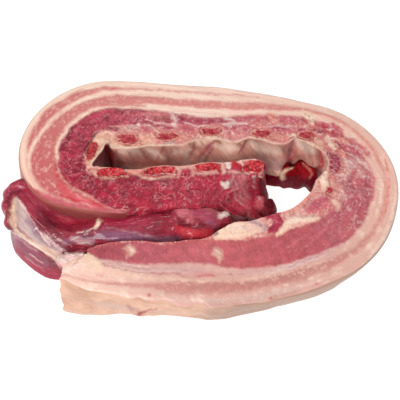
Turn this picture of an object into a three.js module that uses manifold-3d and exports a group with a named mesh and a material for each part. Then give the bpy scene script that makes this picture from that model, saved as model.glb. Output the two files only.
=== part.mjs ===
// A strip of raw pork belly with its rind and ribs, rolled up loosely and
// standing on its lower cut edge. Millimetres, +Z up.
import * as THREE from 'three';
import { mergeVertices } from 'three/addons/utils/BufferGeometryUtils.js';
import Module from 'manifold-3d';

const wasm = await Module();
wasm.setup();

// Gap between pieces that touch.
const GAP = 0.3;

// Run of the strip seen from above: its middle line as a chain of arcs, from
// the inner end of the roll outwards. Angles in degrees.
const RUN_START = new THREE.Vector2(43, 0);
const RUN_HEADING = 182.5;
const RUN_ARCS = [
  { length: 103.5, turn: 4 },
  { length: 42, turn: -82 },
  { length: 62.5, turn: -108 },
  { length: 45, turn: 6 },
  { length: 91.5, turn: -17.5 },
  { length: 54.5, turn: -82 },
  { length: 68.5, turn: -64.5 },
  { length: 154.5, turn: -28.5 },
];
const OUTER_LAP = 300;
const STATION_LENGTH = 5.5;
const STATION_TURN = 7;

// Thickness of each layer from the rind to the rib side, by place along the run.
const LAYERS = ['rind_fat', 'lean_streak', 'fat_seam', 'deep_lean', 'rib_bed'];
const THICKNESS = [
  [0, 0, 0, 0, 22, 10],
  [40, 0, 0, 0, 20.6, 10],
  [66, 0, 0, 0, 20.2, 10],
  [84, 5, 0, 0, 15.5, 10],
  [100, 7, 2, 1.5, 14, 10],
  [120, 8, 7, 2.5, 13, 10],
  [165, 5.5, 19, 4, 16.2, 12],
  [225, 14, 7, 4.4, 12.2, 21.8],
  [270, 14.3, 6.1, 8.2, 7.1, 15.3],
  [300, 11.5, 6.2, 4.4, 5.5, 18.3],
  [335, 7.7, 2.6, 5, 6, 21],
  [370, 8.5, 2.8, 5.3, 10, 15],
  [405, 8.5, 3.1, 5.6, 18, 17],
  [435, 9.2, 4.6, 5.2, 22, 18],
  [465, 9.8, 6.2, 4.9, 22, 13.6],
  [500, 8.5, 6.5, 6.6, 20, 12.4],
  [540, 8.7, 7.4, 11, 16, 2.8],
  [565, 8.2, 3.4, 11.6, 13.8, 1.2],
  [595, 5.5, 1.4, 15, 7, 0],
  [609, 5, 0, 16.5, 2.4, 0],
  [622, 6, 0, 17, 0, 0],
];
const LAYER_MIN = 1;

// Height of the cut face at the rind and at the rib side, and how far the
// foot of the wall stands in from the top, by place along the run.
const HEIGHTS = [
  [0, 49, 50, 1],
  [80, 48, 50, 1],
  [120, 46, 50, 2],
  [165, 44, 50, 2],
  [225, 42, 50, 1],
  [300, 42, 50, 1],
  [335, 41, 50, 4],
  [405, 40, 49, 14],
  [465, 40, 48, 17],
  [500, 40, 48, 14],
  [540, 40, 47, 10],
  [605, 41, 44, 5],
  [622, 41, 42, 4],
];

// Share of that inset at the rib side.
const RIB_SIDE_LEAN = 0.4;

// Rind: rounded top edge, bellied side and a rippled foot near the free end.
const RIND_ROUND = 4;
const RIND_BELLY = 1.6;
const RIPPLE_START = 470;
const RIPPLE_DEPTH = 1.3;
const RIPPLE_PITCH = 33;

// Ribs: place along the run, half width, half thickness and depth of the
// centre below the inner face, which swells over each of them.
const RIBS = [
  { at: 14, width: 8, thick: 3.3, depth: 4.8 },
  { at: 37, width: 9, thick: 3.3, depth: 4.8 },
  { at: 69, width: 9.3, thick: 3.3, depth: 4.8 },
  { at: 104, width: 9.3, thick: 3.3, depth: 4.8 },
  { at: 166, width: 7.4, thick: 3.8, depth: 6.6 },
  { at: 219, width: 9, thick: 5.2, depth: 9.4 },
  { at: 244, width: 9, thick: 5, depth: 10 },
  { at: 273, width: 9, thick: 4.6, depth: 9.8 },
  { at: 305, width: 9, thick: 4.8, depth: 9.5 },
  { at: 338, width: 9, thick: 5, depth: 10.5 },
  { at: 416, width: 6, thick: 4, depth: 10.5 },
];
const RIB_SWELL = 1.8;
const RIB_SWELL_REACH = 10;
const RIB_PROUD = 0.5;

// Skirt flap along the outside of the inner lap and round the left bend:
// centre in plan, half width, spread of the outer foot and height.
const FLAP = [
  { x: 11, y: -23, width: 7, spread: 0, height: 36 },
  { x: -6, y: -25, width: 14, spread: 0, height: 44 },
  { x: -28, y: -29, width: 18, spread: 0, height: 44 },
  { x: -55, y: -33, width: 18, spread: 0, height: 44 },
  { x: -76, y: -33, width: 16, spread: 2, height: 43 },
  { x: -93, y: -27, width: 14, spread: 5, height: 42 },
  { x: -108, y: -14, width: 13, spread: 6, height: 40 },
  { x: -121, y: 0, width: 11, spread: 3, height: 38 },
  { x: -127, y: 9, width: 8, spread: 1, height: 34 },
];
const FLAP_STATIONS = 34;
const FLAP_SIDES = 12;

// Rounded muscles: the bulge at the inner end, and the tongue in the hollow.
const END_BULGE = { x: 43, y: -3, z: 15, rx: 8.5, ry: 10.5, rz: 18 };
const TONGUE = [
  { x: 69, y: 27, z: 12, rx: 16, ry: 13, rz: 21 },
  { x: 55, y: 28, z: 8, rx: 16, ry: 10, rz: 14 },
];

const COLOURS = {
  rind_fat: 0xf3cfb8,
  lean_streak: 0xd98f8c,
  fat_seam: 0xf4cfc0,
  deep_lean: 0xb0546a,
  rib_bed: 0xc98b80,
  rib: 0xb9484c,
  skirt_flap: 0x9c3b50,
  inner_muscle: 0x8a2030,
};

// Smooth curve through one column of a table, level past its ends.
function profile(table, column) {
  const x = table.map((row) => row[0]);
  const y = table.map((row) => row[column]);
  const rise = (i) => (y[i + 1] - y[i]) / (x[i + 1] - x[i]);
  const slope = x.map((_, i) => {
    if (i === 0 || i === x.length - 1) return 0;
    const before = rise(i - 1);
    const after = rise(i);
    return before * after > 0 ? (2 * before * after) / (before + after) : 0;
  });
  return (at) => {
    const p = THREE.MathUtils.clamp(at, x[0], x[x.length - 1]);
    let i = 0;
    while (i < x.length - 2 && p > x[i + 1]) i += 1;
    const span = x[i + 1] - x[i];
    const t = (p - x[i]) / span;
    const u = 1 - t;
    return (
      u * u * (1 + 2 * t) * y[i] +
      t * t * (3 - 2 * t) * y[i + 1] +
      span * t * u * (u * slope[i] - t * slope[i + 1])
    );
  };
}

const layerThickness = LAYERS.map((_, i) => profile(THICKNESS, i + 1));
const rindHeight = profile(HEIGHTS, 1);
const ribSideHeight = profile(HEIGHTS, 2);
const footInset = profile(HEIGHTS, 3);

// Swelling of the inner face over the ribs.
function swell(s) {
  return RIBS.reduce(
    (most, rib) => Math.max(most, RIB_SWELL * Math.exp(-(((s - rib.at) / RIB_SWELL_REACH) ** 2))),
    0,
  );
}

// Depth of the boundary after a number of layers, from the rind.
function boundary(s, count) {
  let depth = 0;
  for (let i = 0; i < count; i += 1) depth += layerThickness[i](s);
  const bed = THREE.MathUtils.smoothstep(layerThickness[4](s), 1, 6);
  return count === LAYERS.length ? depth + bed * (swell(s) - RIB_SWELL / 2) : depth;
}

const wallThickness = (s) => LAYERS.reduce((sum, _, i) => sum + layerThickness[i](s), 0);

// Point and heading on the run at a length along it.
function runAt(s) {
  let heading = THREE.MathUtils.degToRad(RUN_HEADING);
  const point = RUN_START.clone();
  let left = s;
  RUN_ARCS.forEach((arc, i) => {
    const last = i === RUN_ARCS.length - 1;
    const part = last ? left : Math.min(left, arc.length);
    const turn = (THREE.MathUtils.degToRad(arc.turn) * part) / arc.length;
    const chord = turn === 0 ? part : (2 * part * Math.sin(turn / 2)) / turn;
    point.x += chord * Math.cos(heading + turn / 2);
    point.y += chord * Math.sin(heading + turn / 2);
    heading += turn;
    left -= part;
  });
  return { point, heading };
}

const RUN_LENGTH = RUN_ARCS.reduce((sum, arc) => sum + arc.length, 0);

// Height of the cut face at a depth from the rind.
function topAt(s, depth) {
  const t = THREE.MathUtils.clamp(depth / wallThickness(s), 0, 1);
  return THREE.MathUtils.lerp(rindHeight(s), ribSideHeight(s), t);
}

// Place in the roll of a point given along, across and up the strip.
function place(s, depth, z) {
  const { point, heading } = runAt(s);
  const share = THREE.MathUtils.lerp(1, RIB_SIDE_LEAN, THREE.MathUtils.clamp(depth / wallThickness(s), 0, 1));
  const inset = footInset(s) * share * (1 - z / topAt(s, depth));
  const out = wallThickness(s) / 2 - depth - inset;
  return new THREE.Vector3(
    point.x - Math.sin(heading) * out,
    point.y + Math.cos(heading) * out,
    z,
  );
}

// Stations between two lengths along the run, closer together in the bends.
function stations(from, to) {
  const list = [];
  let start = 0;
  for (const arc of RUN_ARCS) {
    const count = Math.ceil(
      Math.max(arc.length / STATION_LENGTH, Math.abs(arc.turn) / STATION_TURN),
    );
    for (let i = 0; i < count; i += 1) list.push(start + (arc.length * i) / count);
    start += arc.length;
  }
  const inside = list.filter((s) => s > from + 1.5 && s < to - 1.5);
  return [from, ...inside, to];
}

// Closed solid through rings of points, with both ends filled. Each side is
// split from its lower to its higher corner, so that layers lie face to face.
function loft(rings) {
  const sides = rings[0].length;
  const positions = rings.flat().flatMap((p) => p.toArray());
  const index = [];
  for (let r = 0; r < rings.length - 1; r += 1) {
    for (let k = 0; k < sides; k += 1) {
      const a = r * sides + k;
      const b = r * sides + ((k + 1) % sides);
      if (rings[r][k].z <= rings[r][(k + 1) % sides].z) {
        index.push(a, b, b + sides, a, b + sides, a + sides);
      } else {
        index.push(a, b, a + sides, b, b + sides, a + sides);
      }
    }
  }
  const end = (rings.length - 1) * sides;
  for (let k = 1; k < sides - 1; k += 1) index.push(0, k + 1, k, end, end + k, end + k + 1);
  const geometry = new THREE.BufferGeometry();
  geometry.setAttribute('position', new THREE.Float32BufferAttribute(positions, 3));
  geometry.setIndex(index);
  return geometry;
}

// Solid for joining and cutting, from a closed geometry.
function solid(geometry) {
  const bare = geometry.clone();
  bare.deleteAttribute('normal');
  bare.deleteAttribute('uv');
  const merged = mergeVertices(bare, 1e-4);
  const triVerts = Uint32Array.from(merged.index.array);
  const vertProperties = Float32Array.from(merged.attributes.position.array);
  const made = new wasm.Manifold(new wasm.Mesh({ numProp: 3, vertProperties, triVerts }));
  if (made.volume() >= 0) return made;
  for (let i = 0; i < triVerts.length; i += 3) {
    [triVerts[i + 1], triVerts[i + 2]] = [triVerts[i + 2], triVerts[i + 1]];
  }
  return new wasm.Manifold(new wasm.Mesh({ numProp: 3, vertProperties, triVerts }));
}

// Largest piece of a cut solid.
function largest(cut) {
  return cut.decompose().reduce((best, piece) => (piece.volume() > best.volume() ? piece : best));
}

function mesh(name, body, colour, roughness = 0.5) {
  const data = body.getMesh();
  const geometry = new THREE.BufferGeometry();
  geometry.setAttribute('position', new THREE.BufferAttribute(data.vertProperties, 3));
  geometry.setIndex(new THREE.BufferAttribute(data.triVerts, 1));
  geometry.computeVertexNormals();
  const material = new THREE.MeshStandardMaterial({ color: colour, roughness, metalness: 0 });
  const made = new THREE.Mesh(geometry, material);
  made.name = name;
  return made;
}

// Outer face of the rind from the foot to the rounded top edge.
function rindFace(s, grow) {
  const top = rindHeight(s);
  const round = Math.min(RIND_ROUND, boundary(s, 1) * 0.6);
  const ripple =
    RIPPLE_DEPTH *
    THREE.MathUtils.smoothstep(s, RIPPLE_START, RIPPLE_START + 50) *
    Math.sin((2 * Math.PI * s) / RIPPLE_PITCH);
  return [
    [-ripple - grow, 0],
    [-RIND_BELLY - ripple / 2 - grow, top * 0.45],
    [-grow, top - round],
    [round * 0.3 - grow, top - round * 0.3],
    [round, topAt(s, round)],
  ];
}

// Section of one layer, with its share of the gap taken off each side.
function layerSection(s, layer) {
  const inner = boundary(s, layer + 1) - (layer === LAYERS.length - 1 ? 0 : GAP / 2);
  const foot = [inner, 0];
  const head = [inner, topAt(s, inner)];
  if (layer === 0) return [...rindFace(s, 0), head, foot];
  const outer = boundary(s, layer) + (layerThickness[0](s) > 0 ? GAP / 2 : 0);
  return [[outer, 0], [outer, topAt(s, outer)], head, foot];
}

const rings = (list, section) =>
  list.map((s) => section(s).map(([depth, z]) => place(s, depth, z)));

// Stretch of the run on which a layer is thick enough to be there.
function layerRange(layer) {
  const step = 0.5;
  let from = 0;
  let to = RUN_LENGTH;
  while (layerThickness[layer](from) < LAYER_MIN) from += step;
  while (layerThickness[layer](to) < LAYER_MIN) to -= step;
  return stations(from, to);
}

function layerSolid(layer) {
  return solid(loft(rings(layerRange(layer), (s) => layerSection(s, layer))));
}

// Whole wall with a margin all round, for cutting what lies against it.
function wallSolid(grow, from = 0) {
  const section = (s) => {
    const inner = boundary(s, LAYERS.length) + grow;
    const face = rindFace(s, grow);
    const top = ribSideHeight(s) + grow;
    return [[face[0][0], -1], ...face.slice(0, 3), [-grow, top], [inner, top], [inner, -1]];
  };
  return solid(loft(rings(stations(from - grow, RUN_LENGTH + grow), section)));
}

// One rib with a margin: an oval bone leaning with the wall.
function ribSolid(rib, grow) {
  const depth = boundary(rib.at, LAYERS.length) - rib.depth;
  const base = -10 * grow;
  const height = topAt(rib.at, depth) + RIB_PROUD + 10 * grow - base;
  const oval = new THREE.Shape().absellipse(
    0, 0, rib.width + grow, rib.thick + grow, 0, 2 * Math.PI, false, 0,
  );
  const geometry = new THREE.ExtrudeGeometry(oval, {
    depth: height, bevelEnabled: false, curveSegments: 10,
  });
  const foot = place(rib.at, depth, base);
  const head = place(rib.at, depth, base + height);
  const { heading } = runAt(rib.at);
  const lean = head.clone().sub(foot).divideScalar(height);
  const shear = new THREE.Matrix4().set(
    1, 0, lean.x, 0,
    0, 1, lean.y, 0,
    0, 0, 1, 0,
    0, 0, 0, 1,
  );
  geometry.rotateZ(heading).applyMatrix4(shear).translate(foot.x, foot.y, base);
  return solid(geometry);
}

function flapSolid() {
  const points = FLAP.map((f) => new THREE.Vector3(f.x, f.y, 0));
  const line = new THREE.CatmullRomCurve3(points, false, 'centripetal');
  const last = FLAP.length - 1;
  const value = (key) => profile(FLAP.map((f, i) => [i / last, f[key]]), 1);
  const width = value('width');
  const spread = value('spread');
  const height = value('height');
  const list = [];
  for (let i = 0; i <= FLAP_STATIONS; i += 1) {
    const t = i / FLAP_STATIONS;
    const centre = line.getPoint(t);
    const along = line.getTangent(t);
    const out = new THREE.Vector3(-along.y, along.x, 0);
    const ends = Math.min(1, 4 * t + 0.5, 4 * (1 - t) + 0.35);
    const ring = [];
    for (let k = 0; k <= FLAP_SIDES; k += 1) {
      const angle = (Math.PI * k) / FLAP_SIDES;
      const across = Math.sign(Math.cos(angle)) * Math.abs(Math.cos(angle)) ** 0.55;
      const z = height(t) * ends ** 0.4 * Math.sin(angle) ** 0.7;
      const foot = spread(t) * Math.max(0, across) * (1 - z / height(t));
      ring.push(centre.clone().addScaledVector(out, across * width(t) * ends + foot).setZ(z));
    }
    list.push(ring);
  }
  return solid(loft(list));
}

function lump({ x, y, z, rx, ry, rz }) {
  const ball = new THREE.SphereGeometry(1, 20, 14).rotateX(Math.PI / 2);
  ball.scale(rx, ry, rz).translate(x, y, z);
  return solid(ball).trimByPlane([0, 0, 1], 0);
}

// Assembly.
const roll = new THREE.Group();
const wall = wallSolid(GAP);
const bodies = LAYERS.map((_, i) => layerSolid(i));

const bedSide = solid(loft(rings(stations(-20, 60), (s) => {
  const depth = boundary(s, 4) - GAP / 2;
  return [[depth, -1], [depth, 60], [60, 60], [60, -1]];
})));
const bulge = lump(END_BULGE).subtract(bedSide).subtract(wallSolid(GAP, OUTER_LAP));
bodies[3] = bodies[3].add(bulge);
bodies[4] = RIBS.reduce((body, rib) => body.subtract(ribSolid(rib, GAP)), bodies[4]);

LAYERS.forEach((name, i) => roll.add(mesh(name, largest(bodies[i]), COLOURS[name])));
RIBS.forEach((rib, i) => {
  roll.add(mesh(`rib_${String(i + 1).padStart(2, '0')}`, ribSolid(rib, 0), COLOURS.rib));
});
roll.add(mesh('skirt_flap', largest(flapSolid().subtract(wall)), COLOURS.skirt_flap, 0.35));
const tongue = TONGUE.map(lump).reduce((a, b) => a.add(b)).subtract(wall);
roll.add(mesh('inner_muscle', largest(tongue), COLOURS.inner_muscle, 0.35));

// Origin under the middle of the roll, on the surface that it stands on.
const box = new THREE.Box3().setFromObject(roll);
const middle = box.getCenter(new THREE.Vector3());
roll.position.set(-middle.x, -middle.y, -box.min.z);

export default roll;
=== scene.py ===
"""Raw pork belly with its rind and ribs, rolled up loosely and standing on its lower cut edge."""
import logging
import math
from dataclasses import dataclass, field
from enum import Enum
from typing import Sequence, Union

import bpy
import numpy as np
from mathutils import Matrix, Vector


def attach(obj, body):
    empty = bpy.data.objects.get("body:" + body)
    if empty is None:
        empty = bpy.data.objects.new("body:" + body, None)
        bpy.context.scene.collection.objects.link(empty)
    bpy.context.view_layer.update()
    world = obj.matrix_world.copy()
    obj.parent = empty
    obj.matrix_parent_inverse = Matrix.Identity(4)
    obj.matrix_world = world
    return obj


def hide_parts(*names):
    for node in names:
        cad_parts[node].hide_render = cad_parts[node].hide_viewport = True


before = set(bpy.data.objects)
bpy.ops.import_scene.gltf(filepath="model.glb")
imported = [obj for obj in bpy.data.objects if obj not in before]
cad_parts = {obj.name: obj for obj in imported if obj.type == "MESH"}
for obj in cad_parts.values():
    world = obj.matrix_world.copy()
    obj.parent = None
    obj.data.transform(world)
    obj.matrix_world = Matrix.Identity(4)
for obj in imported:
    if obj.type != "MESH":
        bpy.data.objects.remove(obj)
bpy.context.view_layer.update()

LOG = logging.getLogger("pork_ribs")

# All sizes below are in millimetres, and become metres where a mesh is placed.
MM = 0.001
BODY = "root"
# Shift that centres the roll on the origin.
MIDDLE = (0.630, -1.168, 0.0)
SHIFT = np.array(MIDDLE)
# The camera looks down at the middle of the roll. Patches of tone are placed in its square picture.
PICTURE = 400.0
PIXEL = 0.665
VIEW_RISE = 60.0
VIEW_HEIGHT = 25.0
# Length along the run from which the ribs lie in the far wall.
FAR_WALL = 185.0
# Distance that stands for well outside a tissue.
OUTSIDE = -9.0

Colour = tuple[int, int, int]
Triple = tuple[float, float, float]
Numbers = Union[float, np.ndarray]
Rows = Sequence[Sequence[float]]


def paint(red: float, green: float, blue: float) -> tuple[float, float, float, float]:
    """Colour for a shader from the 0 to 255 values seen on screen.

    Args:
        red: Red on screen.
        green: Green on screen.
        blue: Blue on screen.

    Returns:
        Linear colour with full cover.
    """
    parts = []
    for part in (red, green, blue):
        share = part / 255.0
        parts.append(share / 12.92 if share <= 0.04045 else ((share + 0.055) / 1.055) ** 2.4)
    return (parts[0], parts[1], parts[2], 1.0)


def ease(value: np.ndarray, low: float, high: float) -> np.ndarray:
    """Smooth step from 0 at low to 1 at high.

    Args:
        value: Values to step.
        low: Where the step starts.
        high: Where the step ends.

    Returns:
        Values from 0 to 1.
    """
    share = np.clip((np.asarray(value, float) - low) / (high - low), 0.0, 1.0)
    return share * share * (3.0 - 2.0 * share)


class Profile:
    """Smooth curve through one column of a table, level past its ends."""

    def __init__(self, rows: Rows, column: int = 1) -> None:
        """Keep the table and its slopes.

        Args:
            rows: Table rows, with the place in the first column.
            column: Column of the value.
        """
        self.at = np.array([row[0] for row in rows], float)
        self.value = np.array([row[column] for row in rows], float)
        rise = np.diff(self.value) / np.diff(self.at)
        self.slope = np.zeros_like(self.value)
        for i in range(1, len(rise)):
            if rise[i - 1] * rise[i] > 0:
                self.slope[i] = 2 * rise[i - 1] * rise[i] / (rise[i - 1] + rise[i])

    def __call__(self, places: np.ndarray) -> np.ndarray:
        """Values of the curve.

        Args:
            places: Places along the table's first column.

        Returns:
            One value for each place.
        """
        p = np.clip(np.asarray(places, float), self.at[0], self.at[-1])
        i = np.clip(np.searchsorted(self.at, p, side="left") - 1, 0, len(self.at) - 2)
        span = self.at[i + 1] - self.at[i]
        t = (p - self.at[i]) / span
        u = 1.0 - t
        bend = span * t * u * (u * self.slope[i] - t * self.slope[i + 1])
        return u * u * (1 + 2 * t) * self.value[i] + t * t * (3 - 2 * t) * self.value[i + 1] + bend


class Lumps:
    """Soft seeded unevenness, from -1 to 1."""

    SIZE = 4096
    MIXERS = (73856093, 19349663, 83492791)
    FINER = 2.03
    FAINTER = 0.55
    APART = 17.3

    def __init__(self, seed: int) -> None:
        """Fill the lattice.

        Args:
            seed: Seed, so that each run gives the same lumps.
        """
        self.table = np.random.default_rng(seed).uniform(-1.0, 1.0, self.SIZE)

    def __call__(self, x: np.ndarray, y: Numbers = 0.0, z: Numbers = 0.0) -> np.ndarray:
        """Unevenness at points one lattice unit apart.

        Args:
            x: First coordinate.
            y: Second coordinate.
            z: Third coordinate.

        Returns:
            Smooth values between -1 and 1.
        """
        x, y, z = np.broadcast_arrays(np.asarray(x, float), np.asarray(y, float), np.asarray(z, float))
        base = [np.floor(c).astype(np.int64) for c in (x, y, z)]
        share = [ease(c - b, 0.0, 1.0) for c, b in zip((x, y, z), base)]
        total = np.zeros_like(x)
        for corner in range(8):
            bits = [(corner >> k) & 1 for k in range(3)]
            key = np.zeros_like(base[0])
            for part, bit, mixer in zip(base, bits, self.MIXERS):
                key ^= (part + bit) * mixer
            weight = np.ones_like(x)
            for bit, part in zip(bits, share):
                weight = weight * (part if bit else 1.0 - part)
            total += weight * self.table[key & (self.SIZE - 1)]
        return total

    def rough(self, x: np.ndarray, y: Numbers = 0.0, z: Numbers = 0.0, levels: int = 3) -> np.ndarray:
        """Unevenness with finer lumps on top.

        Args:
            x: First coordinate.
            y: Second coordinate.
            z: Third coordinate.
            levels: Number of sizes of lump.

        Returns:
            Values about -1 to 1.
        """
        total = 0.0
        for level in range(levels):
            times = self.FINER ** level
            at = [np.asarray(c) * times for c in (x, y, z)]
            total = total + self(at[0] + self.APART * level, at[1], at[2]) * self.FAINTER ** level
        return total


class Layer(Enum):
    """Layers of the strip from the rind to the rib side."""

    RIND_FAT = 0
    LEAN_STREAK = 1
    FAT_SEAM = 2
    DEEP_LEAN = 3
    RIB_BED = 4


@dataclass(frozen=True)
class Rib:
    """One cut rib: its place and half length along the run, half thickness, depth and share of marrow.

    The depth is measured from the inner face of the strip.
    """

    at: float
    reach: float
    thick: float
    depth: float
    marrow: float

    def far(self) -> bool:
        """Whether the rib lies in the far wall or beyond."""
        return self.at > FAR_WALL

    def outline(self, across: np.ndarray, along: np.ndarray) -> np.ndarray:
        """Share of the way from the middle of the rib to its outline.

        Args:
            across: Places across the rib, as shares of its half thickness.
            along: Places along it, as shares of its half length.

        Returns:
            1 on the outline.
        """
        blunt = 2.5 if self.far() else 4.0
        return (np.abs(along) ** blunt + np.abs(across) ** blunt) ** (1.0 / blunt)


@dataclass
class Strip:
    """The belly strip: its run seen from above, its layers and its heights.

    The run is a chain of arcs, each a length and a turn in degrees. In the other tables the first
    number is a length along the run. After it come the thickness of each layer, the heights of the
    rind side and the rib side with the inset at the foot, the waves of the rib side, how far the
    start of the rind is drawn in, and the frills of the rind at the top and the foot.
    """

    start: tuple[float, float] = (43.0, 0.0)
    heading: float = 182.5
    arcs: Rows = (
        (103.5, 4), (42, -82), (62.5, -108), (45, 6), (91.5, -17.5), (54.5, -82), (68.5, -64.5),
        (154.5, -28.5),
    )
    thickness: Rows = (
        (0, 0, 0, 0, 22, 10), (40, 0, 0, 0, 20.6, 10), (74, 0, 0, 0, 20.2, 10), (90, 0, 0, 0, 21.4, 10),
        (100, 1.4, 0.4, 0.6, 22.1, 10), (120, 5.2, 8.6, 2.3, 14.4, 10), (165, 5.5, 19, 4, 16.2, 12),
        (225, 14, 7, 4.4, 12.2, 21.8), (270, 14.3, 6.1, 8.2, 7.1, 15.3),
        (300, 11.5, 6.2, 4.4, 5.5, 18.3), (335, 7.7, 2.6, 5, 6, 21), (370, 7.4, 2.8, 6.4, 10, 15),
        (405, 7.4, 3.1, 6.7, 18, 17), (435, 9.2, 4.6, 5.2, 22, 18), (465, 9.8, 6.2, 4.9, 22, 13.6),
        (500, 8.5, 6.5, 6.6, 20, 12.4), (540, 8.7, 7.4, 11, 16, 2.8), (565, 8.2, 3.4, 11.6, 13.8, 1.2),
        (595, 5.5, 1.4, 15, 7, 0), (609, 5, 0, 16.5, 2.4, 0), (622, 6, 0, 17, 0, 0),
    )
    heights: Rows = (
        (0, 49, 50, 1), (80, 48, 50, 1), (120, 46, 50, 2), (165, 44, 50, 2), (225, 42, 50, 1),
        (300, 42, 50, 1), (335, 41, 50, 4), (405, 40, 49, 14), (465, 40, 48, 17), (500, 40, 48, 14.5),
        (521, 40, 47.6, 13.5), (540, 40, 47, 11), (556, 40.2, 46.4, 10.5), (567, 40.4, 46, 7.8),
        (580, 40.6, 45.4, 5), (592, 40.9, 44.8, 3.4), (602, 41, 44.2, 0), (612, 41, 43.2, -2.8),
        (622, 41, 42, -3),
    )
    waves: Rows = (
        (114, 0), (119, -0.6), (122, -1.8), (125, -2.6), (128, -2.6), (130.5, -0.6), (134, 1.0),
        (139, 1.5), (146, 1.0), (154, 0), (160, -0.6), (168, 0.2), (176, 0.3), (182, -0.6), (186, -1.4),
        (190, -2.1), (194, -2.7), (198, -3.4), (202, -3.8), (206, -2.0), (210, 0.4), (213, 0),
        (228, -1.0), (232, -1.4), (240, -1.8), (247, -0.6), (253, 1.0), (263.5, -1.8), (269, -2.9),
        (276, -2.7), (281.5, -1.7), (287.5, 1.9), (292, 2.4), (297.5, -0.8), (301, -2.8), (307.5, -3.2),
        (313.5, -1.7), (319, 0.8), (323.5, 1.5), (328, -0.8), (333, -6.6), (338, -6.6), (343, -4.4),
        (349, -2.0), (357, -1.0), (370, 0), (390, 0), (397, 0.8), (403, 2.0), (410, 2.0), (416, 0.4),
        (420, 0), (498, 0), (505, 1.6), (512, 0.6), (518, -1.5), (524, -3.0), (534, -3.6), (546, -2.6),
        (558, -0.8), (570, 2.2), (582, 4.4), (594, 5.6), (603, 6.6), (610, 6.8), (617, 4.8), (622, 2.6),
    )
    tucks: Rows = (
        (88, 0), (94, 0.6), (99, 1.8), (104, 3.4), (109, 5.2), (114, 6.2), (119, 6.2), (124, 5.0),
        (129, 3.2), (134, 1.7), (140, 0.8), (147, 0),
    )
    frills: Rows = (
        (446, 0, 1.0), (456, -0.4, 3.4), (466, 0.2, 3.4), (478, 0.9, 2.8), (490, 1.2, 2.0),
        (497, 1.9, 1.9), (505, 1.2, 2.2), (514, 1.3, 3.1), (522, 2.4, 4.0), (530, 2.8, 3.2),
        (537, 0.4, 1.0), (544, 2.3, -0.6), (550, 1.9, -0.8), (557, -0.4, -0.4), (563, 0.9, -0.6),
        (568, 0.8, -1.2), (572, -0.6, -0.6), (578, 1.3, -2.4), (584, 0.8, -2.6), (594, 0.7, -0.8),
        (604, 1.7, -1.4), (613, 0, -1.6), (622, -2.8, -1.8),
    )
    length: float = 622.0
    rib_side_lean: float = 0.4
    swell: float = 1.8
    swell_reach: float = 10.0
    wander: float = 0.55
    rib_follow: float = 0.6
    end_reach: float = 40.0
    end_back: float = 12.0
    end_bow: float = 1.2
    end_height: float = 41.0
    end_uneven: float = 1.3
    ribs: Sequence[Rib] = (
        Rib(7.5, 6.6, 4.6, 5.4, 0.97), Rib(37.5, 8.6, 2.7, 3.5, 0.97), Rib(68, 10.6, 2.6, 3.3, 0.97),
        Rib(102, 12, 3.2, 4.0, 0.97), Rib(158, 20, 3.0, 6.6, 0.96), Rib(219, 7.8, 4.8, 8.7, 0.80),
        Rib(244, 7.2, 3.7, 9.3, 0.74), Rib(273, 7.6, 4.2, 10.2, 0.76), Rib(309, 7.2, 4.2, 8.6, 0.74),
        Rib(339, 6.4, 4.0, 11.8, 0.80), Rib(416, 5, 3.2, 10.0, 0.58),
    )
    lumps: Lumps = field(default_factory=lambda: Lumps(7))

    def __post_init__(self) -> None:
        """Make the curves of the tables."""
        self.layer_curves = [Profile(self.thickness, i) for i in range(1, 6)]
        self.rind_top = Profile(self.heights, 1)
        self.rib_side_top = Profile(self.heights, 2)
        self.foot_inset = Profile(self.heights, 3)
        self.wave = Profile(self.waves)
        self.tuck = Profile(self.tucks)
        self.frill_top = Profile(self.frills, 1)
        self.frill_foot = Profile(self.frills, 2)

    def line(self, s: np.ndarray) -> tuple[np.ndarray, np.ndarray, np.ndarray]:
        """Middle line of the strip seen from above.

        Args:
            s: Lengths along the run.

        Returns:
            X, Y and heading in radians.
        """
        s = np.asarray(s, float)
        x = np.full_like(s, self.start[0])
        y = np.full_like(s, self.start[1])
        turned = np.full_like(s, math.radians(self.heading))
        left = s.copy()
        for i, (length, angle) in enumerate(self.arcs):
            part = left if i == len(self.arcs) - 1 else np.minimum(left, length)
            turn = math.radians(angle) * part / length
            safe = np.where(np.abs(turn) < 1e-9, 1.0, turn)
            chord = np.where(np.abs(turn) < 1e-9, part, 2 * part * np.sin(turn / 2) / safe)
            x = x + chord * np.cos(turned + turn / 2)
            y = y + chord * np.sin(turned + turn / 2)
            turned = turned + turn
            left = left - part
        return x, y, turned

    def wall(self, s: np.ndarray) -> np.ndarray:
        """Thickness of all layers together."""
        return sum(curve(s) for curve in self.layer_curves)

    def outside_bed(self, s: np.ndarray) -> np.ndarray:
        """Thickness of the layers outside the rib bed, at least a millimetre."""
        return np.maximum(sum(curve(s) for curve in self.layer_curves[:Layer.RIB_BED.value]), 1.0)

    def over_ribs(self, s: np.ndarray) -> np.ndarray:
        """Share of the swelling over the ribs, from 0 between them to 1."""
        return np.max([np.exp(-(((s - rib.at) / self.swell_reach) ** 2)) for rib in self.ribs], axis=0)

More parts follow.
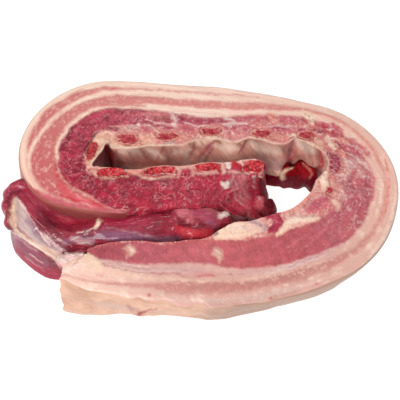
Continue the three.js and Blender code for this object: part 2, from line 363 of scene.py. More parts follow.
    def edge(self, s: np.ndarray, count: int) -> np.ndarray:
        """Depth from the rind of the boundary after a number of layers.

        Args:
            s: Lengths along the run.
            count: Number of layers before the boundary.

        Returns:
            Depth of the boundary.
        """
        s = np.asarray(s, float)
        depth = np.zeros_like(s)
        for i in range(count):
            depth = depth + self.layer_curves[i](s)
        if count == len(self.layer_curves):
            share = ease(self.layer_curves[Layer.RIB_BED.value](s), 1.0, 6.0)
            return depth + share * self.swell * (self.over_ribs(s) - 0.5) + self.wave(s)
        if count > 0:
            room = np.minimum(self.layer_curves[count - 1](s), self.layer_curves[count](s))
            wave = self.lumps.rough(s / 9.0, 31.0 * count) + 0.5 * self.lumps(s / 2.6, 11.0 * count)
            depth = depth + self.wander * wave * np.clip(room / 5.0, 0.0, 1.0)
        if count == Layer.RIB_BED.value:
            depth = depth + self.wave(s) * ease(s, 540, 556)
        room = self.outside_bed(s)
        return np.where(depth < room, self.tuck(s) + depth * (1.0 - self.tuck(s) / room), depth)

    def rib_side(self, s: np.ndarray) -> np.ndarray:
        """Depth of the rib side from the rind."""
        return self.edge(s, len(self.layer_curves))

    def loose(self, s: np.ndarray, depth: np.ndarray) -> np.ndarray:
        """Depths as they are before the wall is drawn in at the start of the rind.

        Args:
            s: Lengths along the run.
            depth: Depths from the rind.

        Returns:
            Depths in the wall at its full thickness.
        """
        room = self.outside_bed(s)
        return np.where(depth < room, (depth - self.tuck(s)) / (1.0 - self.tuck(s) / room), depth)

    def top(self, s: np.ndarray, depth: np.ndarray) -> np.ndarray:
        """Height of the cut face.

        Args:
            s: Lengths along the run.
            depth: Depths from the rind.

        Returns:
            Heights above the floor.
        """
        share = np.clip(depth / self.wall(s), 0.0, 1.0)
        return self.rind_top(s) * (1.0 - share) + self.rib_side_top(s) * share

    def free_end(self, s: np.ndarray, depth: np.ndarray, z: np.ndarray) -> np.ndarray:
        """How far the free end of the strip is cut back towards its rib side.

        Args:
            s: Lengths along the run.
            depth: Depths from the rind.
            z: Heights above the floor.

        Returns:
            Shifts along the run.
        """
        near = ease(s, self.length - self.end_reach, self.length)
        back = self.end_back * ease(depth, 11.0, 24.0)
        bow = self.end_bow * np.sin(np.pi * np.clip(z / self.end_height, 0, 1))
        uneven = self.end_uneven * self.lumps.rough(depth / 5.0, z / 6.0, 12.0)
        return -near * (back + bow + uneven)

    def place(self, s: np.ndarray, depth: np.ndarray, z: np.ndarray) -> np.ndarray:
        """Points of the rolled strip.

        Args:
            s: Lengths along the run.
            depth: Depths from the rind.
            z: Heights above the floor.

        Returns:
            Array of points in metres, in the part's frame.
        """
        x, y, turned = self.line(s)
        share = 1.0 - (1.0 - self.rib_side_lean) * np.clip(depth / self.wall(s), 0.0, 1.0)
        out = self.wall(s) / 2 - depth - self.foot_inset(s) * share * (1.0 - z / self.top(s, depth))
        return MM * (np.stack((x - np.sin(turned) * out, y + np.cos(turned) * out, z), axis=-1) + SHIFT)


def seen_from_front(points: np.ndarray) -> tuple[np.ndarray, np.ndarray]:
    """Where points show in the camera's picture, in pixels.

    Args:
        points: Points in millimetres, before the roll is centred.

    Returns:
        Pixels from the left and from the top.
    """
    x, y, z = points.T
    rise = math.radians(VIEW_RISE)
    up = y * math.sin(rise) + (z - VIEW_HEIGHT) * math.cos(rise)
    return PICTURE / 2 + x / PIXEL, PICTURE / 2 - up / PIXEL


def inside(points: Rows, x: np.ndarray, y: np.ndarray) -> np.ndarray:
    """Distance inside a stroke of changing width.

    Args:
        points: Points of the stroke, each with its half width.
        x: First coordinate of the places.
        y: Second coordinate of the places.

    Returns:
        Distance to the outline, positive inside.
    """
    rows = [tuple(row) for row in points]
    if len(rows) == 1:
        rows = rows * 2
    best = np.full(x.shape, -50.0)
    for (x0, y0, r0), (x1, y1, r1) in zip(rows[:-1], rows[1:]):
        length = (x1 - x0) ** 2 + (y1 - y0) ** 2
        t = np.zeros_like(x)
        if length > 0:
            t = np.clip(((x - x0) * (x1 - x0) + (y - y0) * (y1 - y0)) / length, 0.0, 1.0)
        away = np.hypot(x - x0 - t * (x1 - x0), y - y0 - t * (y1 - y0))
        best = np.maximum(best, r0 + t * (r1 - r0) - away)
    return best


class Tone(Enum):
    """Colours of the small patches, as they show on screen."""

    WHITE = (246, 216, 206)
    CREAM = (244, 208, 182)
    BONE = (230, 172, 148)
    SALMON = (230, 146, 130)
    PINK = (222, 140, 138)
    ROSE = (202, 98, 108)
    MAUVE = (174, 66, 88)
    PLUM = (150, 40, 66)
    RED = (198, 40, 56)
    DARK = (104, 22, 36)
    BROWN = (160, 82, 76)
    GREY = (208, 178, 172)
    LILAC = (214, 160, 162)
    MIST = (206, 166, 166)
    VEIL = (208, 148, 134)
    SHEEN = (246, 218, 200)
    # Painted shade of the rind and fat at the front right.
    HIDE = (164, 128, 111)
    FASCIA = (202, 172, 168)
    VIOLET = (142, 84, 112)
    CRIMSON = (166, 36, 66)
    WINE = (108, 12, 32)
    TAN = (212, 158, 138)
    STREAK = (196, 130, 120)
    BLUSH = (226, 174, 166)
    CORAL = (222, 100, 106)
    DUSTY = (178, 106, 110)


@dataclass(frozen=True)
class Brush:
    """A patch of tone on a surface, with its cover, soft edge and rise.

    Each point is pixels from the left and from the top, as seen from the front, and a half width.
    """

    tone: Tone
    points: Rows
    cover: float = 0.9
    soft: float = 1.2
    rise: float = 0.0


@dataclass
class Painter:
    """Lays brushed patches of tone on places, as seen from the front.

    Outlines stray from the brush's own, and brushes wider than a thread have softer edges.
    """

    lumps: Lumps
    stray: float = 1.3
    blur: float = 1.5
    thread: float = 1.7

    def lay(
        self, brushes: Sequence[Brush], across: np.ndarray, down: np.ndarray,
    ) -> tuple[np.ndarray, np.ndarray, np.ndarray]:
        """Brush patches one over the other.

        Args:
            brushes: Patches, the lowest first.
            across: Pixels from the left.
            down: Pixels from the top.

        Returns:
            Colour, cover from 0 to 1, and rise above the plain surface.
        """
        lumps = self.lumps
        broad = across / 6.0, down / 6.0
        fine = across / 1.9, down / 1.9
        x = across + self.stray * (lumps.rough(*broad, 2.7) + 0.5 * lumps(*fine, 8.1))
        y = down + self.stray * (0.8 * lumps.rough(*broad, 6.3) + 0.4 * lumps(*fine, 4.4))
        colour = np.tile(np.array(paint(*Tone.PINK.value)[:3]), (len(across), 1))
        cover = np.zeros(len(across))
        rise = np.zeros(len(across))
        for brush in brushes:
            within = inside(brush.points, x, y)
            soft = brush.soft * (self.blur if max(row[2] for row in brush.points) > self.thread else 1.0)
            share = brush.cover * ease(within, -soft, soft)
            whole = share + cover * (1.0 - share)
            part = np.where(whole > 1e-6, share / np.maximum(whole, 1e-6), 0.0)
            colour = colour + part[:, None] * (np.array(paint(*brush.tone.value)[:3]) - colour)
            cover = whole
            rise += brush.rise * ease(within, -1.0, 2.0)
        return colour, cover, rise


class Tissue(Enum):
    """What a place on the cut face is made of."""

    FAT = "fat"
    LEAN = "lean"
    MUSCLE = "muscle"
    # A sunk crevice, coloured with painted shade.
    CREVICE = "crevice"
    BLOOD = "blood"


@dataclass(frozen=True)
class Stroke:
    """A streak or patch of tissue on the cut face, and how far it stands up.

    Each point is a length along the run, a depth from the rind and a half width.
    """

    tissue: Tissue
    points: Rows
    rise: float = 0.0


@dataclass
class CutFace:
    """The cut face of the strip: where each tissue lies, how it stands up and its painted patches."""

    strip: Strip
    stray_pitch: float = 4.5
    stray_along: float = 1.1
    stray_across: float = 0.8
    broad_waves: float = 0.40
    meat_crumbs: float = 0.42
    meat_sink: float = 0.25
    bed_crumbs: float = 0.45
    rim_rise: float = 0.5
    rib_sink: float = 2.4
    near_ragged: float = 0.08
    far_ragged: float = 0.20
    lumps: Lumps = field(default_factory=lambda: Lumps(21))
    strokes: Sequence[Stroke] = (
        # Inner lap, from its end to the left bend.
        Stroke(Tissue.MUSCLE, ((52, 25, 3.0), (54, 27, 2.2))),
        Stroke(Tissue.FAT, ((24.5, 23, 0.8), (26, 29, 1.1))),
        Stroke(Tissue.FAT, ((48, 23, 0.6), (47, 27, 0.7), (49, 29.5, 0.7))),
        Stroke(Tissue.FAT, ((57, 22, 0.7), (56, 27, 0.7), (58, 30, 0.7))),
        Stroke(Tissue.FAT, ((60, 22.5, 0.6), (70, 22, 0.6), (78, 23, 0.7), (84, 27, 1.2), (86, 30, 1.0))),
        Stroke(Tissue.FAT, ((30, 23.5, 0.5), (38, 23, 0.5), (46, 24, 0.5))),
        Stroke(Tissue.FAT, ((6, 22.5, 0.4), (14, 23, 0.5), (21, 23, 0.5))),
        Stroke(Tissue.FAT, ((90, 26, 0.6), (100, 27.5, 0.6), (112, 31, 0.9), (122, 36, 0.8))),
        # Left bend.
        Stroke(Tissue.LEAN, ((132, 14, 4), (150, 11, 4), (162, 8.4, 3.6), (180, 9.2, 3.9),
                             (196, 9, 3.0), (210, 7.8, 1.6))),
        Stroke(Tissue.FAT, ((148, 5, 1.2), (157, 8, 0.9), (165, 12, 1.0), (175, 13.8, 1.1),
                            (190, 14.4, 1.2), (204, 12.5, 2.2))),
        Stroke(Tissue.LEAN, ((193, 22.5, 1.6), (210, 22.8, 1.9), (230, 22.6, 1.0))),
        Stroke(Tissue.FAT, ((150, 25.5, 0.7), (170, 27, 0.9), (188, 26.2, 0.6))),
        Stroke(Tissue.MUSCLE, ((150, 47, 2.0), (166, 48.5, 2.4), (176, 49, 1.6))),
        # Painted shade in a sunk crevice between the lean and the rib bed.
        Stroke(Tissue.CREVICE, ((156, 44.5, 0.35), (168, 46, 0.5), (178, 46, 0.45), (190, 44, 0.3)), -0.8),
        Stroke(Tissue.MUSCLE, ((184, 42.5, 1.2), (198, 43, 1.6), (210, 44.5, 1.1))),
        Stroke(Tissue.FAT, ((178, 52, 1.4), (195, 54, 1.6), (210, 56.5, 1.5))),
        Stroke(Tissue.FAT, ((183, 48, 0.5), (197, 46.5, 0.5), (207, 47, 0.6), (212, 50, 0.6))),
        # Far wall.
        Stroke(Tissue.LEAN, ((208, 7.8, 1.2), (240, 7.2, 0.8), (272, 7.4, 0.9), (292, 6, 0.6),
                             (304, 5, 0.2))),
        # Front wall.
        Stroke(Tissue.FAT, ((520, 31.5, 1.6), (521.5, 34.5, 2.6)), 0.8),
        Stroke(Tissue.FAT, ((578.5, 28.6, 1.0), (578, 32, 2.0), (580, 34.6, 1.2)), 1.0),
        Stroke(Tissue.BLOOD, ((466, 3.4, 0.9),)),
        Stroke(Tissue.BLOOD, ((495, 1.6, 0.8),)),
        Stroke(Tissue.BLOOD, ((566, 3.8, 1.0),)),
    )
    # Round the tight bend and the first far rib, with painted shade in a sunk dark line.
    tight_bend: Sequence[Brush] = (
        Brush(Tone.BONE, ((98, 139, 5), (112, 140, 5), (130, 141, 7), (150, 140, 6)), 0.9, 3),
        Brush(Tone.BONE, ((98, 148, 4), (94, 158, 4), (91, 166, 3)), 0.8, 2),
        Brush(Tone.CREAM, ((97, 141, 1.6), (104, 140.5, 1.6), (108, 142, 1.4)), 0.9, 1),
        Brush(Tone.CREAM, ((112, 145, 1.4), (120, 148, 1.2), (130, 149, 1.2), (140, 148, 1.2),
                           (150, 146, 1.2), (172, 146, 1.2)), 0.9, 1),
        Brush(Tone.CREAM, ((104, 147, 1.2), (99, 156, 1.4), (94, 164, 1.4)), 0.8, 1),
        Brush(Tone.GREY, ((124, 127, 2.4), (132, 126.6, 3.4), (137, 128, 2.4)), 0.55, 2),
        Brush(Tone.WHITE, ((138, 124, 1.6), (139, 125, 1.4)), 1.0, 0.7, 0.4),
        Brush(Tone.PLUM, ((108, 128.6, 0.6), (118, 128, 1.2), (122, 129, 0.6)), 0.8, 0.9),
        Brush(Tone.PINK, ((96, 131, 0.8), (104, 130, 1.0), (112, 131.5, 1.0), (118, 134, 0.8)), 0.8, 1),
        # Painted shade in a sunk line between the rib bed and the lean.
        Brush(Tone.DARK, ((100, 131.5, 0.3), (95, 134.5, 0.5), (91.5, 141, 0.5), (86, 148, 0.5),
                          (80, 154.5, 0.5)), 0.75, 0.8, -0.5),
        Brush(Tone.ROSE, ((142, 126, 3), (147, 131, 4), (149, 134, 2)), 0.8, 1.6),
        Brush(Tone.WHITE, ((146, 125.4, 0.8), (150, 126.4, 0.8)), 0.8, 0.8),
        Brush(Tone.CREAM, ((151, 126.5, 0.7), (157, 131, 0.8), (160.5, 136, 0.8),
                           (162, 142, 0.7)), 0.85, 0.8),
        Brush(Tone.SALMON, ((144, 138, 3), (152, 139, 3), (157, 142, 2)), 0.5, 2),
    )
    # Lens of dark lean in the seam, and the lean beyond it.
    far_lean: Sequence[Brush] = (
        Brush(Tone.PINK, ((142, 113, 2), (156, 113, 2.5), (172, 113, 2)), 0.7, 2),
        Brush(Tone.BROWN, ((150, 116, 0.8), (160, 117, 2.2), (168, 117.5, 2.8),
                           (171.5, 117, 1.4)), 0.75, 1.3),
        Brush(Tone.MAUVE, ((142, 121.8, 1.0), (152, 123.6, 1.4), (162, 126.2, 1.8),
                           (173, 128, 1.6)), 0.9, 1.2),
        Brush(Tone.WHITE, ((144, 118.5, 0.6), (154, 121, 0.8), (166, 122.8, 1.0),
                           (176, 124, 1.0)), 0.65, 1.2),
        Brush(Tone.WHITE, ((173, 113, 1.6), (175, 118, 2.4), (176, 124, 2.0)), 0.7, 1.8),
        Brush(Tone.MAUVE, ((179, 121, 2), (184, 126, 4), (188, 129, 3)), 0.8, 1.8),
        Brush(Tone.GREY, ((164, 140, 2.4), (168, 142, 2.6), (174, 143, 2)), 0.75, 1.6),
        Brush(Tone.SALMON, ((178, 137, 3), (184, 139, 4), (190, 140, 3)), 0.7, 2),
        Brush(Tone.ROSE, ((180, 127, 2.4), (192, 129, 3.4), (200, 128, 2)), 0.55, 2.4),
        Brush(Tone.MAUVE, ((226, 130, 1.6), (236, 129.6, 2.4), (247, 130.6, 2)), 0.6, 2),
        Brush(Tone.ROSE, ((276, 129, 2.6), (288, 131, 3), (296, 133, 2)), 0.55, 2.4),
        Brush(Tone.BROWN, ((241, 134, 1.2), (248, 132, 1.6), (252, 127, 1.2)), 0.45, 2),
        Brush(Tone.ROSE, ((181, 124, 3), (191, 125.6, 5), (200, 124, 3)), 0.6, 2.6),
        Brush(Tone.ROSE, ((223, 126, 3.4), (236, 127, 5.6), (250, 126, 3.6)), 0.65, 2.6),
        Brush(Tone.ROSE, ((271, 126, 3.4), (284, 127, 5.6), (297, 127, 3.6)), 0.65, 2.6),
        Brush(Tone.WHITE, ((196, 115, 1.6), (206, 114.4, 2), (218, 113.4, 1.6)), 0.5, 2),
        Brush(Tone.ROSE, ((182, 113.5, 1.4), (189, 114.5, 1.2), (196, 115, 0.6)), 0.7, 1.2),
        Brush(Tone.MAUVE, ((186, 120.5, 1.4), (200, 121, 2.6), (214, 120.6, 2.8),
                           (224, 119.6, 2.6)), 0.85, 1.5),
        Brush(Tone.WHITE, ((184, 121.4, 0.6), (190, 124, 0.9), (198, 126, 1.0), (210, 127, 0.8)), 0.6, 1.2),
        Brush(Tone.ROSE, ((234, 120, 2), (242, 118, 3), (252, 117, 2.6)), 0.85, 1.6),
        Brush(Tone.WHITE, ((225, 118, 1.2), (231, 118.4, 1.6), (234, 121, 1.0)), 0.75, 1.2),
        Brush(Tone.WHITE, ((222, 125.4, 0.8), (230, 122.6, 1.2), (240, 123.2, 1.2),
                           (248, 124, 1.2)), 0.75, 1.2, 0.3),
        Brush(Tone.GREY, ((229, 125, 1.4), (232, 126, 1.4)), 0.9, 0.9),
        Brush(Tone.DARK, ((225.6, 126.4, 0.7), (227, 127, 0.5)), 0.7, 0.7),
        Brush(Tone.DARK, ((234.4, 127, 0.6), (237, 127.4, 0.6)), 0.7, 0.7),
        Brush(Tone.ROSE, ((236, 129, 1.2), (246, 129, 1.4)), 0.8, 1.2),
        Brush(Tone.CREAM, ((202, 136, 2.6), (212, 138, 2.4), (220, 139.6, 1.4)), 0.8, 1.6),
        Brush(Tone.PINK, ((222, 131, 2.4), (234, 137, 4.4), (246, 135, 3.6)), 0.6, 2.4),
        Brush(Tone.WHITE, ((232.6, 132.6, 0.9), (234, 133.6, 0.8)), 0.9, 0.7),
        Brush(Tone.BROWN, ((221.4, 138.6, 0.7), (223, 137.6, 0.6)), 0.8, 0.7),
        Brush(Tone.CREAM, ((180, 146, 1.0), (190, 143, 1.0), (200, 140.6, 1.4), (214, 139.6, 0.8),
                           (222, 140.4, 1.2), (230, 143.4, 0.8)), 0.55, 1.4),
        Brush(Tone.CREAM, ((236, 144, 1.0), (244, 141, 1.0), (249, 139, 1.4), (258, 139, 0.9),
                           (266, 141, 1.4), (276, 145, 1.0)), 0.55, 1.4),
        Brush(Tone.SALMON, ((268, 114, 2.0), (273, 116.6, 3.0), (276, 121, 2.2)), 0.85, 1.6),
        Brush(Tone.RED, ((271, 115, 0.9), (274, 117, 1.2)), 0.4, 1.2),
        Brush(Tone.SALMON, ((258, 114, 2), (262, 121, 2.6)), 0.5, 2),
        Brush(Tone.MAUVE, ((271, 126, 1.4), (278, 128, 2.8), (285, 130, 2.2)), 0.75, 1.6),
        Brush(Tone.WHITE, ((262, 127.6, 0.5), (275, 125.6, 0.7), (290, 124.6, 0.8),
                           (296, 125.4, 0.6)), 0.55, 1.2),
        Brush(Tone.ROSE, ((280, 119, 2), (290, 118, 3.4), (299, 120, 2.6)), 0.9, 1.4),
        Brush(Tone.SALMON, ((272, 137, 3), (282, 138, 4.4), (287, 142, 3)), 0.65, 2.2),
    )
    # Right bend.
    right_bend: Sequence[Brush] = (
        Brush(Tone.CREAM, ((304, 110, 2), (311, 116, 4), (313, 122, 2.4)), 0.9, 1.6, 0.3),
        Brush(Tone.CREAM, ((290, 136, 1.0), (293.5, 135, 1.6), (299, 138, 1.4), (306, 142.4, 1.2),
                           (312, 147, 1.2), (319, 150, 1.0)), 0.85, 1),
        Brush(Tone.MAUVE, ((300, 129, 2), (307, 130, 2)), 0.8, 1.4),
        Brush(Tone.PLUM, ((314, 130.6, 1.8), (320, 131, 2.0), (325, 133, 1.4)), 0.85, 1.2),
        Brush(Tone.RED, ((323, 124, 1.6), (327, 128, 3.0), (333, 132, 2.4)), 0.7, 1.4),
        Brush(Tone.ROSE, ((334, 125, 2.4), (340, 129, 3.4), (342, 134, 2.0)), 0.85, 1.5),
        Brush(Tone.WHITE, ((328, 129, 0.6), (332.4, 128, 0.6)), 0.9, 0.6),
        Brush(Tone.WHITE, ((316, 133.6, 0.5), (321, 134.6, 0.7)), 0.9, 0.7),
        Brush(Tone.WHITE, ((327, 135.6, 0.6), (334, 138, 0.8), (340, 141, 0.6)), 0.8, 0.8),
        Brush(Tone.BONE, ((316, 141, 3.6), (320, 147, 3.2)), 0.9, 1.5),
        Brush(Tone.CREAM, ((328, 138, 2), (331, 144, 3.2), (333, 149, 2.2)), 0.85, 1.2, 0.3),
        Brush(Tone.DARK, ((335, 141, 0.6), (339, 144, 1.0), (341, 148, 1.4),
                          (338, 149, 0.8)), 0.6, 1.0, -0.4),
        Brush(Tone.SALMON, ((338, 138, 1.6), (348, 141, 2.4)), 0.8, 1.5),
        Brush(Tone.ROSE, ((346, 147, 2.6), (354, 149, 4.4), (358, 154, 3.6)), 0.9, 1.5),
        Brush(Tone.MAUVE, ((354, 146, 1.6), (358, 152, 2.0)), 0.6, 1.4),
        Brush(Tone.ROSE, ((350, 139, 1.8), (357, 144, 3), (364, 150, 3.6), (369, 156, 2.6)), 0.75, 1.6),
        Brush(Tone.PINK, ((352, 141, 0.7), (360, 147, 1.0), (366, 153, 0.7)), 0.5, 1.2),
        Brush(Tone.ROSE, ((320, 122.6, 1.2), (329, 123.6, 2.2), (337, 127, 2.2)), 0.7, 1.4),
        Brush(Tone.ROSE, ((368, 168, 2), (371.6, 178, 2.4), (371.6, 190, 2.2), (369, 200, 1.6)), 0.65, 1.6),
        Brush(Tone.SHEEN, ((377, 174, 1.2), (378.6, 184, 1.8), (377.6, 194, 1.8),
                           (376, 204, 1.4)), 0.6, 1.4),
        Brush(Tone.SHEEN, ((393, 186, 1.4), (392.4, 198, 2.4), (389, 212, 3), (383, 226, 3),
                           (376, 240, 2.6), (364, 254, 2.2)), 0.55, 2),
        Brush(Tone.PLUM, ((329, 155, 2.4), (333, 160, 5.4), (333, 168, 5.6),
                          (331, 172, 2.6)), 0.92, 1.2, 0.7),
        Brush(Tone.MAUVE, ((335, 163, 3), (336, 168, 2.4)), 0.5, 1.6),
        Brush(Tone.SALMON, ((339, 152, 1.6), (342, 156, 2.2)), 0.9, 1.0),
        Brush(Tone.DARK, ((342, 160, 0.4), (350, 158.4, 0.5), (358, 160, 0.4)), 0.6, 0.7, -0.3),
        Brush(Tone.BLUSH, ((344, 164, 3), (347, 170, 4.4), (346, 175, 2.4)), 0.75, 2),
        Brush(Tone.BLUSH, ((354, 166, 3), (360, 174, 4)), 0.65, 2.4),
        Brush(Tone.SALMON, ((362, 162, 1.4), (368, 165, 1.6)), 0.8, 1.2),
        Brush(Tone.BLUSH, ((350, 160, 3), (362, 162, 4), (370, 170, 3.4)), 0.5, 3),
        Brush(Tone.ROSE, ((352, 171, 1.6), (356, 177, 2)), 0.6, 1.8),
        Brush(Tone.GREY, ((342, 160, 1.4), (350, 166, 1.8)), 0.45, 2.4),
        Brush(Tone.DARK, ((322, 150, 0.4), (327, 153, 0.7), (326, 158, 0.5)), 0.6, 1.0, -0.3),
        Brush(Tone.DARK, ((344, 152, 0.4), (349, 155.6, 0.6), (356, 157, 0.4)), 0.5, 0.9, -0.3),
        Brush(Tone.WHITE, ((341, 158, 0.6), (346, 161, 1.2), (350, 163, 0.8)), 0.6, 1.2),
        Brush(Tone.WHITE, ((358, 161, 0.8), (363, 164, 1.2), (366, 167, 0.8)), 0.55, 1.2),
        Brush(Tone.WHITE, ((362, 176, 0.8), (366, 178, 1.2)), 0.55, 1.2),
        Brush(Tone.DUSTY, ((334, 179, 3), (344, 183, 6.4), (352, 188, 6.4), (360, 191, 4)), 0.7, 2.4),
        Brush(Tone.MAUVE, ((346, 181, 1.6), (351, 184, 2.2), (352, 190, 1.6)), 0.45, 2),
        Brush(Tone.WHITE, ((334, 175.6, 0.8), (341, 176.6, 1.2)), 0.55, 1.2),
        Brush(Tone.BLUSH, ((330, 192, 1.4), (337, 198, 2.4), (344, 201, 1.4)), 0.6, 1.6),
        Brush(Tone.WHITE, ((344, 142, 0.5), (352, 145, 0.7), (361, 150, 0.6)), 0.6, 0.9),
        Brush(Tone.WHITE, ((341, 150, 0.5), (348, 154, 0.7), (358, 159, 0.6)), 0.6, 0.9),
        Brush(Tone.ROSE, ((353, 181, 3), (357, 186, 3)), 0.8, 1.8),
        Brush(Tone.CREAM, ((324, 174, 2.4), (321, 180, 4.6), (323, 187, 4.2),
                           (326, 190, 2)), 0.95, 1.2, 1.4),
        Brush(Tone.WHITE, ((320, 178, 1.2), (321, 183, 1.6)), 0.5, 1.6),
        Brush(Tone.BLUSH, ((338, 190, 2.4), (342, 196, 3)), 0.7, 1.8),
        Brush(Tone.BROWN, ((363, 193, 0.8), (364, 198, 0.8)), 0.7, 0.8),
        Brush(Tone.SALMON, ((384, 150, 0.8), (386.4, 166, 1.3), (386.6, 184, 1.5), (385, 200, 1.4),
                            (381, 214, 1.0)), 0.75, 1.2),
        Brush(Tone.MAUVE, ((356, 200, 3), (358, 208, 3)), 0.6, 2),
        Brush(Tone.CREAM, ((331, 202, 3), (335, 206, 3)), 0.6, 2),
        Brush(Tone.DARK, ((320, 193, 0.6), (320, 195.4, 0.6)), 0.7, 0.7),
    )
    # Front wall, rib side, with painted shade on the cream fat lump: a pink shading, a dark hollow and a
    # crease.
    front_ribs: Sequence[Brush] = (
        Brush(Tone.SALMON, ((279, 212, 2), (292, 205, 3.4), (310, 194, 4)), 0.7, 1.6),
        Brush(Tone.BROWN, ((301, 206, 1.2), (306, 201, 2), (310, 197, 1.4)), 0.6, 1.4),
        Brush(Tone.ROSE, ((304, 211, 3), (313, 206, 6.4), (321, 201, 6), (326, 206, 3)), 0.85, 1.6, 0.6),
        Brush(Tone.MAUVE, ((308, 208, 1.6), (316, 204, 2.4), (322, 199, 1.8)), 0.6, 1.4),
        Brush(Tone.LILAC, ((304, 205, 0.8), (311, 199, 1.0), (318, 195, 0.8)), 0.6, 1.2),
        Brush(Tone.GREY, ((284, 217, 1.0), (296, 214.6, 1.0), (304, 212, 0.8)), 0.6, 1.2),
        Brush(Tone.CREAM, ((275, 233, 2.4), (282, 226, 4.6), (291, 221, 4.8), (303, 218.6, 3.2),
                           (315, 218, 1.6)), 0.88, 1.6, 0.9),
        Brush(Tone.WHITE, ((286, 222, 1.6), (296, 219, 1.8), (305, 217.6, 1.2)), 0.5, 1.6),
        Brush(Tone.PINK, ((288, 226, 1.0), (296, 223, 1.2)), 0.5, 1.4),
        Brush(Tone.CRIMSON, ((265, 214, 3.6), (273, 215, 5.4), (276, 221, 5), (272, 228, 4),
                             (267, 230, 2.4)), 0.95, 1.2, 0.5),
        Brush(Tone.ROSE, ((268, 212, 1.4), (274, 216, 1.6), (271, 222, 1.2)), 0.5, 1.4),
        Brush(Tone.DARK, ((266, 220, 1.0), (270, 226, 1.4)), 0.5, 1.4),
        Brush(Tone.PINK, ((259, 213, 1.4), (264, 211.4, 1.2)), 0.9, 0.9),
        Brush(Tone.DARK, ((264, 225, 0.6), (267.6, 228, 0.7)), 0.6, 0.8),
        Brush(Tone.CREAM, ((216, 234, 3.6), (228, 231, 7), (240, 229, 8), (252, 227.6, 6),
                           (259, 226.6, 4)), 1.0, 1.2, 1.3),
        Brush(Tone.WHITE, ((228, 228, 2), (238, 226, 2.4), (246, 230.4, 2)), 0.6, 2),
        Brush(Tone.BONE, ((222, 234, 1.6), (236, 234.6, 2), (250, 231, 1.6)), 0.5, 2),
        # Painted shadow in a hollow at the fat lump's left end.
        Brush(Tone.DARK, ((213.6, 233.6, 1.0), (216, 232.6, 1.2)), 0.75, 1),
        Brush(Tone.MIST, ((246, 220, 2.4), (255, 222, 3.4), (262, 227, 2.4)), 0.8, 1.6),
        Brush(Tone.VIOLET, ((249, 221, 0.8), (257, 224, 1.0), (262, 229, 0.6)), 0.4, 1.2),
        Brush(Tone.BONE, ((214, 236, 1.4), (230, 238, 1.4), (244, 236.4, 1.0)), 0.6, 1.2),
        Brush(Tone.BROWN, ((256, 225.6, 0.4), (259, 224.4, 0.4)), 0.7, 0.6),
        Brush(Tone.BLUSH, ((240, 222, 2), (250, 226, 3.6), (257, 230, 2.6)), 0.55, 2.4),
        # Painted shade on the fat lump: pink shading along its top, and a brown crease.
        Brush(Tone.PINK, ((224, 223, 1.2), (233, 221, 1.6), (241, 222.6, 1.2)), 0.35, 1.8),
        Brush(Tone.SHEEN, ((216, 235.4, 1.0), (228, 236, 1.6), (238, 233, 1.4)), 0.6, 1.6),
        Brush(Tone.BROWN, ((238, 218.6, 0.4), (244, 223, 0.6), (243, 229, 0.4)), 0.35, 1.2),
        Brush(Tone.PINK, ((281, 230, 0.6), (290, 225, 0.9), (302, 221.6, 0.7)), 0.4, 1.4),
        Brush(Tone.MIST, ((296, 217, 0.8), (306, 216, 1.2), (314, 216.6, 0.8)), 0.5, 1.4),
    )
